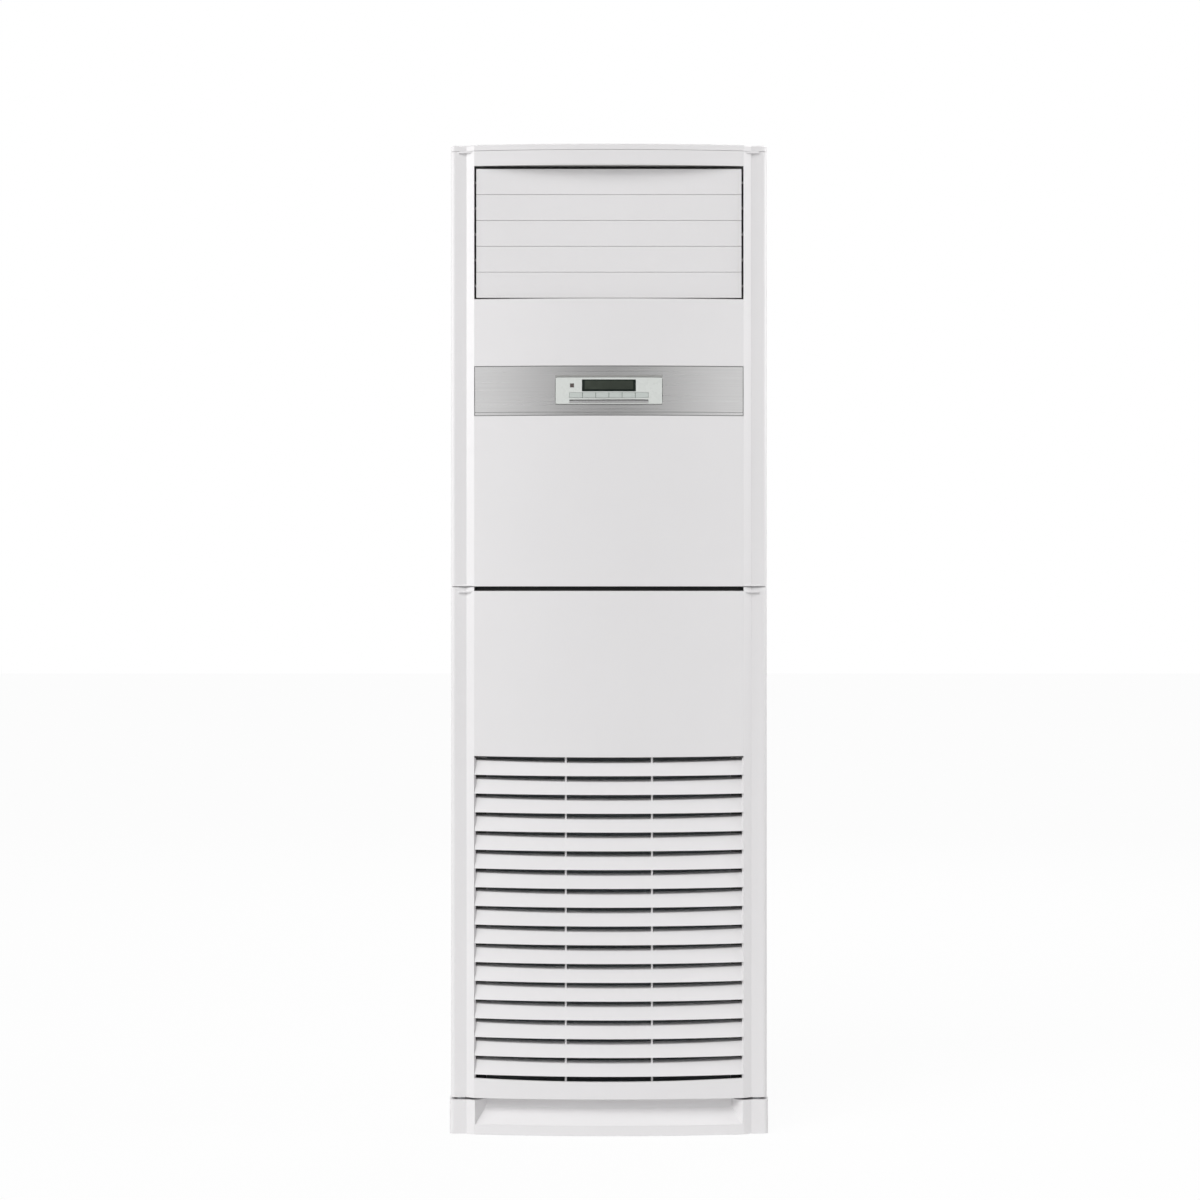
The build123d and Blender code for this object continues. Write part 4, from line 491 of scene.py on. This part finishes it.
def add_inlay(mesh, x, z, proud, sunk, lift, surface):
    """A thin crowned bar on a surface, between two values of x and of z."""
    columns = max(2, round((x[1] - x[0]) / COLUMN_WIDTH))
    shares = DOME if columns == 2 else [(i / columns, 1) for i in range(columns + 1)]
    front, back = [], []
    for share, rise in shares:
        place = x[0] + (x[1] - x[0]) * share
        row = []
        for up, crown in DOME:
            y = surface(place) - lift - proud * min(rise, crown)
            row.append(mesh.verts.new((place, y, z[0] + (z[1] - z[0]) * up)))
        front.append(row)
        back.append([mesh.verts.new((place, surface(place) + sunk, end)) for end in z])
    for (a, b), (c, d) in zip(zip(front, back), zip(front[1:], back[1:])):
        for low, high, next_low, next_high in zip(a, a[1:], c, c[1:]):
            mesh.faces.new((low, next_low, next_high, high))
        mesh.faces.new((b[0], d[0], c[0], a[0]))
        mesh.faces.new((b[1], a[-1], c[-1], d[1]))
        mesh.faces.new((b[0], b[1], d[1], d[0]))
    mesh.faces.new((back[0][0], *front[0], back[0][1]))
    mesh.faces.new((back[-1][1], *reversed(front[-1]), back[-1][0]))


def inlays(
    name, finish, bars,
    proud=LINE_PROUD, sunk=LINE_SUNK, lift=0.0, surface=bow_y, body="unit",
):
    """Thin bars on a surface as one piece, each given by its values of x and of z."""
    mesh = bmesh.new()
    for x, z in bars:
        add_inlay(mesh, x, z, proud, sunk, lift, surface)
    add_piece(name, mesh, finish, body)


def frame_bars(x, z, width):
    """Four bars round a rectangle, inside its edges."""
    sides = [((x[0], x[0] + width), z), ((x[1] - width, x[1]), z)]
    inner = (x[0] + width, x[1] - width)
    return sides + [(inner, (z[0], z[0] + width)), (inner, (z[1] - width, z[1]))]


def place_seam_shade():
    """Painted shade: a dark rubber bar set back in the seam between the two front panels,
    standing in for the shade in that seam.
    """
    edge, bottom = PANEL_HALF - SEAM_SHADE_SIDE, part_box("upper_front_panel")[0].z
    seam_shade_bar = ((-edge, edge), (bottom - SEAM + SEAM_SHADE_GAP, bottom))
    sunk = SEAM_SHADE_SETBACK + SEAM_SHADE_DEPTH
    # painted shade: a dark bar in the seam between the front panels
    inlays("seam_painted_shade", RUBBER, [seam_shade_bar], proud=-SEAM_SHADE_SETBACK, sunk=sunk)


def place_strip_shade_lines():
    """Painted shade: dark lines in the grooves round the metal strip and near its lower edge.
    """
    low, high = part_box("trim_strip")
    lines = frame_bars((low.x, high.x), (low.z, high.z), LINE_WIDTH)
    line_z = low.z + LOW_LINE_RISE
    lines.append(((low.x + LINE_WIDTH, high.x - LINE_WIDTH), (line_z, line_z + LINE_WIDTH)))
    # painted shade: dark lines in the grooves round the strip
    inlays("strip_shade_lines", SHADE_LINE_METAL, lines)


def place_bezel_lines():
    """Painted shade in the gap round the bezel, in the darker metal over it and in the groove
    under the keys; and the metal lip under the keys.
    """
    low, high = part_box("display_bezel")
    x = (low.x - LINE_WIDTH, high.x + LINE_WIDTH)
    z = (low.z - LINE_WIDTH, high.z + LINE_WIDTH)
    # painted shade: a dark line in the gap round the bezel
    inlays("bezel_gap_shade", RUBBER, frame_bars(x, z, LINE_WIDTH))
    # painted shade: a darker metal band over the bezel
    inlays("bezel_brow_shade", BROW_SHADE_METAL, [(x, (z[1], z[1] + BROW_SHADE_HEIGHT))])
    width, foot = (-GROOVE_HALF, GROOVE_HALF), (low.z + high.z) / 2 - GROOVE_DROP
    lift = BEZEL_PROUD * LIFT_SHARE
    # painted shade: a dark bar for the shadow in the groove under the keys
    inlays("key_groove_shade", RUBBER, [(width, (foot, foot + GROOVE_HEIGHT))], lift=lift)
    inlays("key_lip", TRIM_METAL, [(width, (low.z + LIP_RISE, foot))], lift=lift)


def place_glass():
    """The paler glass in the display window."""
    low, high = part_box("display_window")
    x = (low.x + GLASS_SIDE, high.x - GLASS_SIDE)
    z = (low.z + GLASS_FOOT, high.z - GLASS_HEAD)
    lift = (bow_y(0) - low.y) * LIFT_SHARE
    inlays("display_glass", DISPLAY_GLASS, [(x, z)], lift=lift)


def place_guide_shade():
    """Painted shade: dark strips on the filter's guides, seen at the ends of the slots, where
    the guides lie in shade.
    """
    low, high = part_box("filter_frame")
    face = low.y - GUIDE_FACE
    inner, outer = high.x - SHADE_STRIP_INSIDE, high.x + SHADE_STRIP_OUTSIDE
    z = (low.z + SHADE_STRIP_FOOT, low.z + SHADE_STRIP_HEAD)
    shade_strips = [((inner, outer), z), ((-outer, -inner), z)]
    # painted shade: dark strips on the guides at the slots' ends
    inlays(
        "guide_shade_strips", RUBBER, shade_strips,
        proud=SHADE_STRIP_PROUD, surface=lambda x: face, body="lower_panel",
    )


# ---- stage, light and camera ----
def seen_directly(tree):
    """1 on rays from the camera, on glossy rays and on rays through glass."""
    path = tree.nodes.new("ShaderNodeLightPath")
    first, second = tree.nodes.new("ShaderNodeMath"), tree.nodes.new("ShaderNodeMath")
    first.operation = second.operation = "MAXIMUM"
    tree.links.new(path.outputs["Is Camera Ray"], first.inputs[0])
    tree.links.new(path.outputs["Is Glossy Ray"], first.inputs[1])
    tree.links.new(first.outputs[0], second.inputs[0])
    tree.links.new(path.outputs["Is Transmission Ray"], second.inputs[1])
    return second.outputs[0]


def mix_in(tree, share, lit, seen, output):
    """The seen shader takes the lit one's place, by the share, at the tree's output."""
    mix = tree.nodes.new("ShaderNodeMixShader")
    tree.links.new(share, mix.inputs["Fac"])
    tree.links.new(lit.outputs[0], mix.inputs[1])
    tree.links.new(seen.outputs[0], mix.inputs[2])
    tree.links.new(mix.outputs[0], tree.nodes[output].inputs["Surface"])


def make_camera():
    """The photograph's level view from straight ahead."""
    data = bpy.data.cameras.new("camera")
    data.lens = CAMERA_LENS
    camera = add_object("camera", data)
    camera.location = CAMERA_PLACE
    camera.rotation_euler = UPRIGHT
    bpy.context.scene.camera = camera
    bpy.context.scene.view_settings.view_transform = "Standard"


def make_world():
    """White where it is seen, and a plain soft light on everything."""
    world = bpy.data.worlds.new("studio")
    bpy.context.scene.world = world
    world.use_nodes = True
    tree = world.node_tree
    light, seen = tree.nodes["Background"], tree.nodes.new("ShaderNodeBackground")
    for background, strength in ((light, AMBIENT), (seen, 1.0)):
        background.inputs["Color"].default_value = (1, 1, 1, 1)
        background.inputs["Strength"].default_value = strength
    mix_in(tree, seen_directly(tree), light, seen, "World Output")


def make_floor():
    """A plain pale floor that keeps the object's shadow."""
    bpy.ops.mesh.primitive_plane_add(size=FLOOR_SIZE, location=(0, 0, 0))
    floor = bpy.context.object
    floor.name = "floor"
    finish = Finish("pale_floor", FLOOR_COLOUR, FLOOR_ROUGHNESS)
    glow = finish.add("ShaderNodeEmission")
    share = finish.add("ShaderNodeMath", operation="MULTIPLY")
    share.inputs[1].default_value = FLOOR_GLOW
    finish.link(seen_directly(finish.tree), share.inputs[0])
    mix_in(finish.tree, share.outputs[0], finish.shader, glow, "Material Output")
    floor.data.materials.append(finish.material)


def make_lamps():
    """Soft boxes at both sides and behind, and a wide far light over the front."""
    for name, (place, aim, width, height, watts) in LAMPS.items():
        data = bpy.data.lights.new(name, "AREA")
        data.shape, data.size, data.size_y, data.energy = "RECTANGLE", width, height, watts
        lamp = add_object(name, data)
        lamp.location = place
        lamp.rotation_euler = (Vector(aim) - Vector(place)).to_track_quat("-Z", "Y").to_euler()
    data = bpy.data.lights.new("far_light", "SUN")
    data.angle, data.energy = math.radians(FAR_SPREAD), FAR_LIGHT
    lamp = add_object("far_light", data)
    tilt = Matrix.Rotation(math.radians(90 - FAR_ELEVATION), 3, "X")
    turn = Matrix.Rotation(math.radians(FAR_AZIMUTH), 3, "Z")
    lamp.rotation_euler = (turn @ tilt).to_euler()
    lamp.visible_glossy = False


def make_card():
    """A dark card that only metal and gloss mirror."""
    bpy.ops.mesh.primitive_plane_add(size=1, location=CARD_PLACE, rotation=UPRIGHT)
    card = bpy.context.object
    card.name = "dark_card"
    card.scale = (*CARD_SIZE, 1)
    card.visible_camera = card.visible_diffuse = False
    card.visible_shadow = card.visible_transmission = False
    card.data.materials.append(Finish("dark_card", CARD_COLOUR, CARD_ROUGHNESS).material)


make_camera()
make_world()
make_floor()
make_lamps()
make_card()
dress_nodes()
place_screws()
place_seam_shade()
place_strip_shade_lines()
place_bezel_lines()
place_glass()
place_guide_shade()
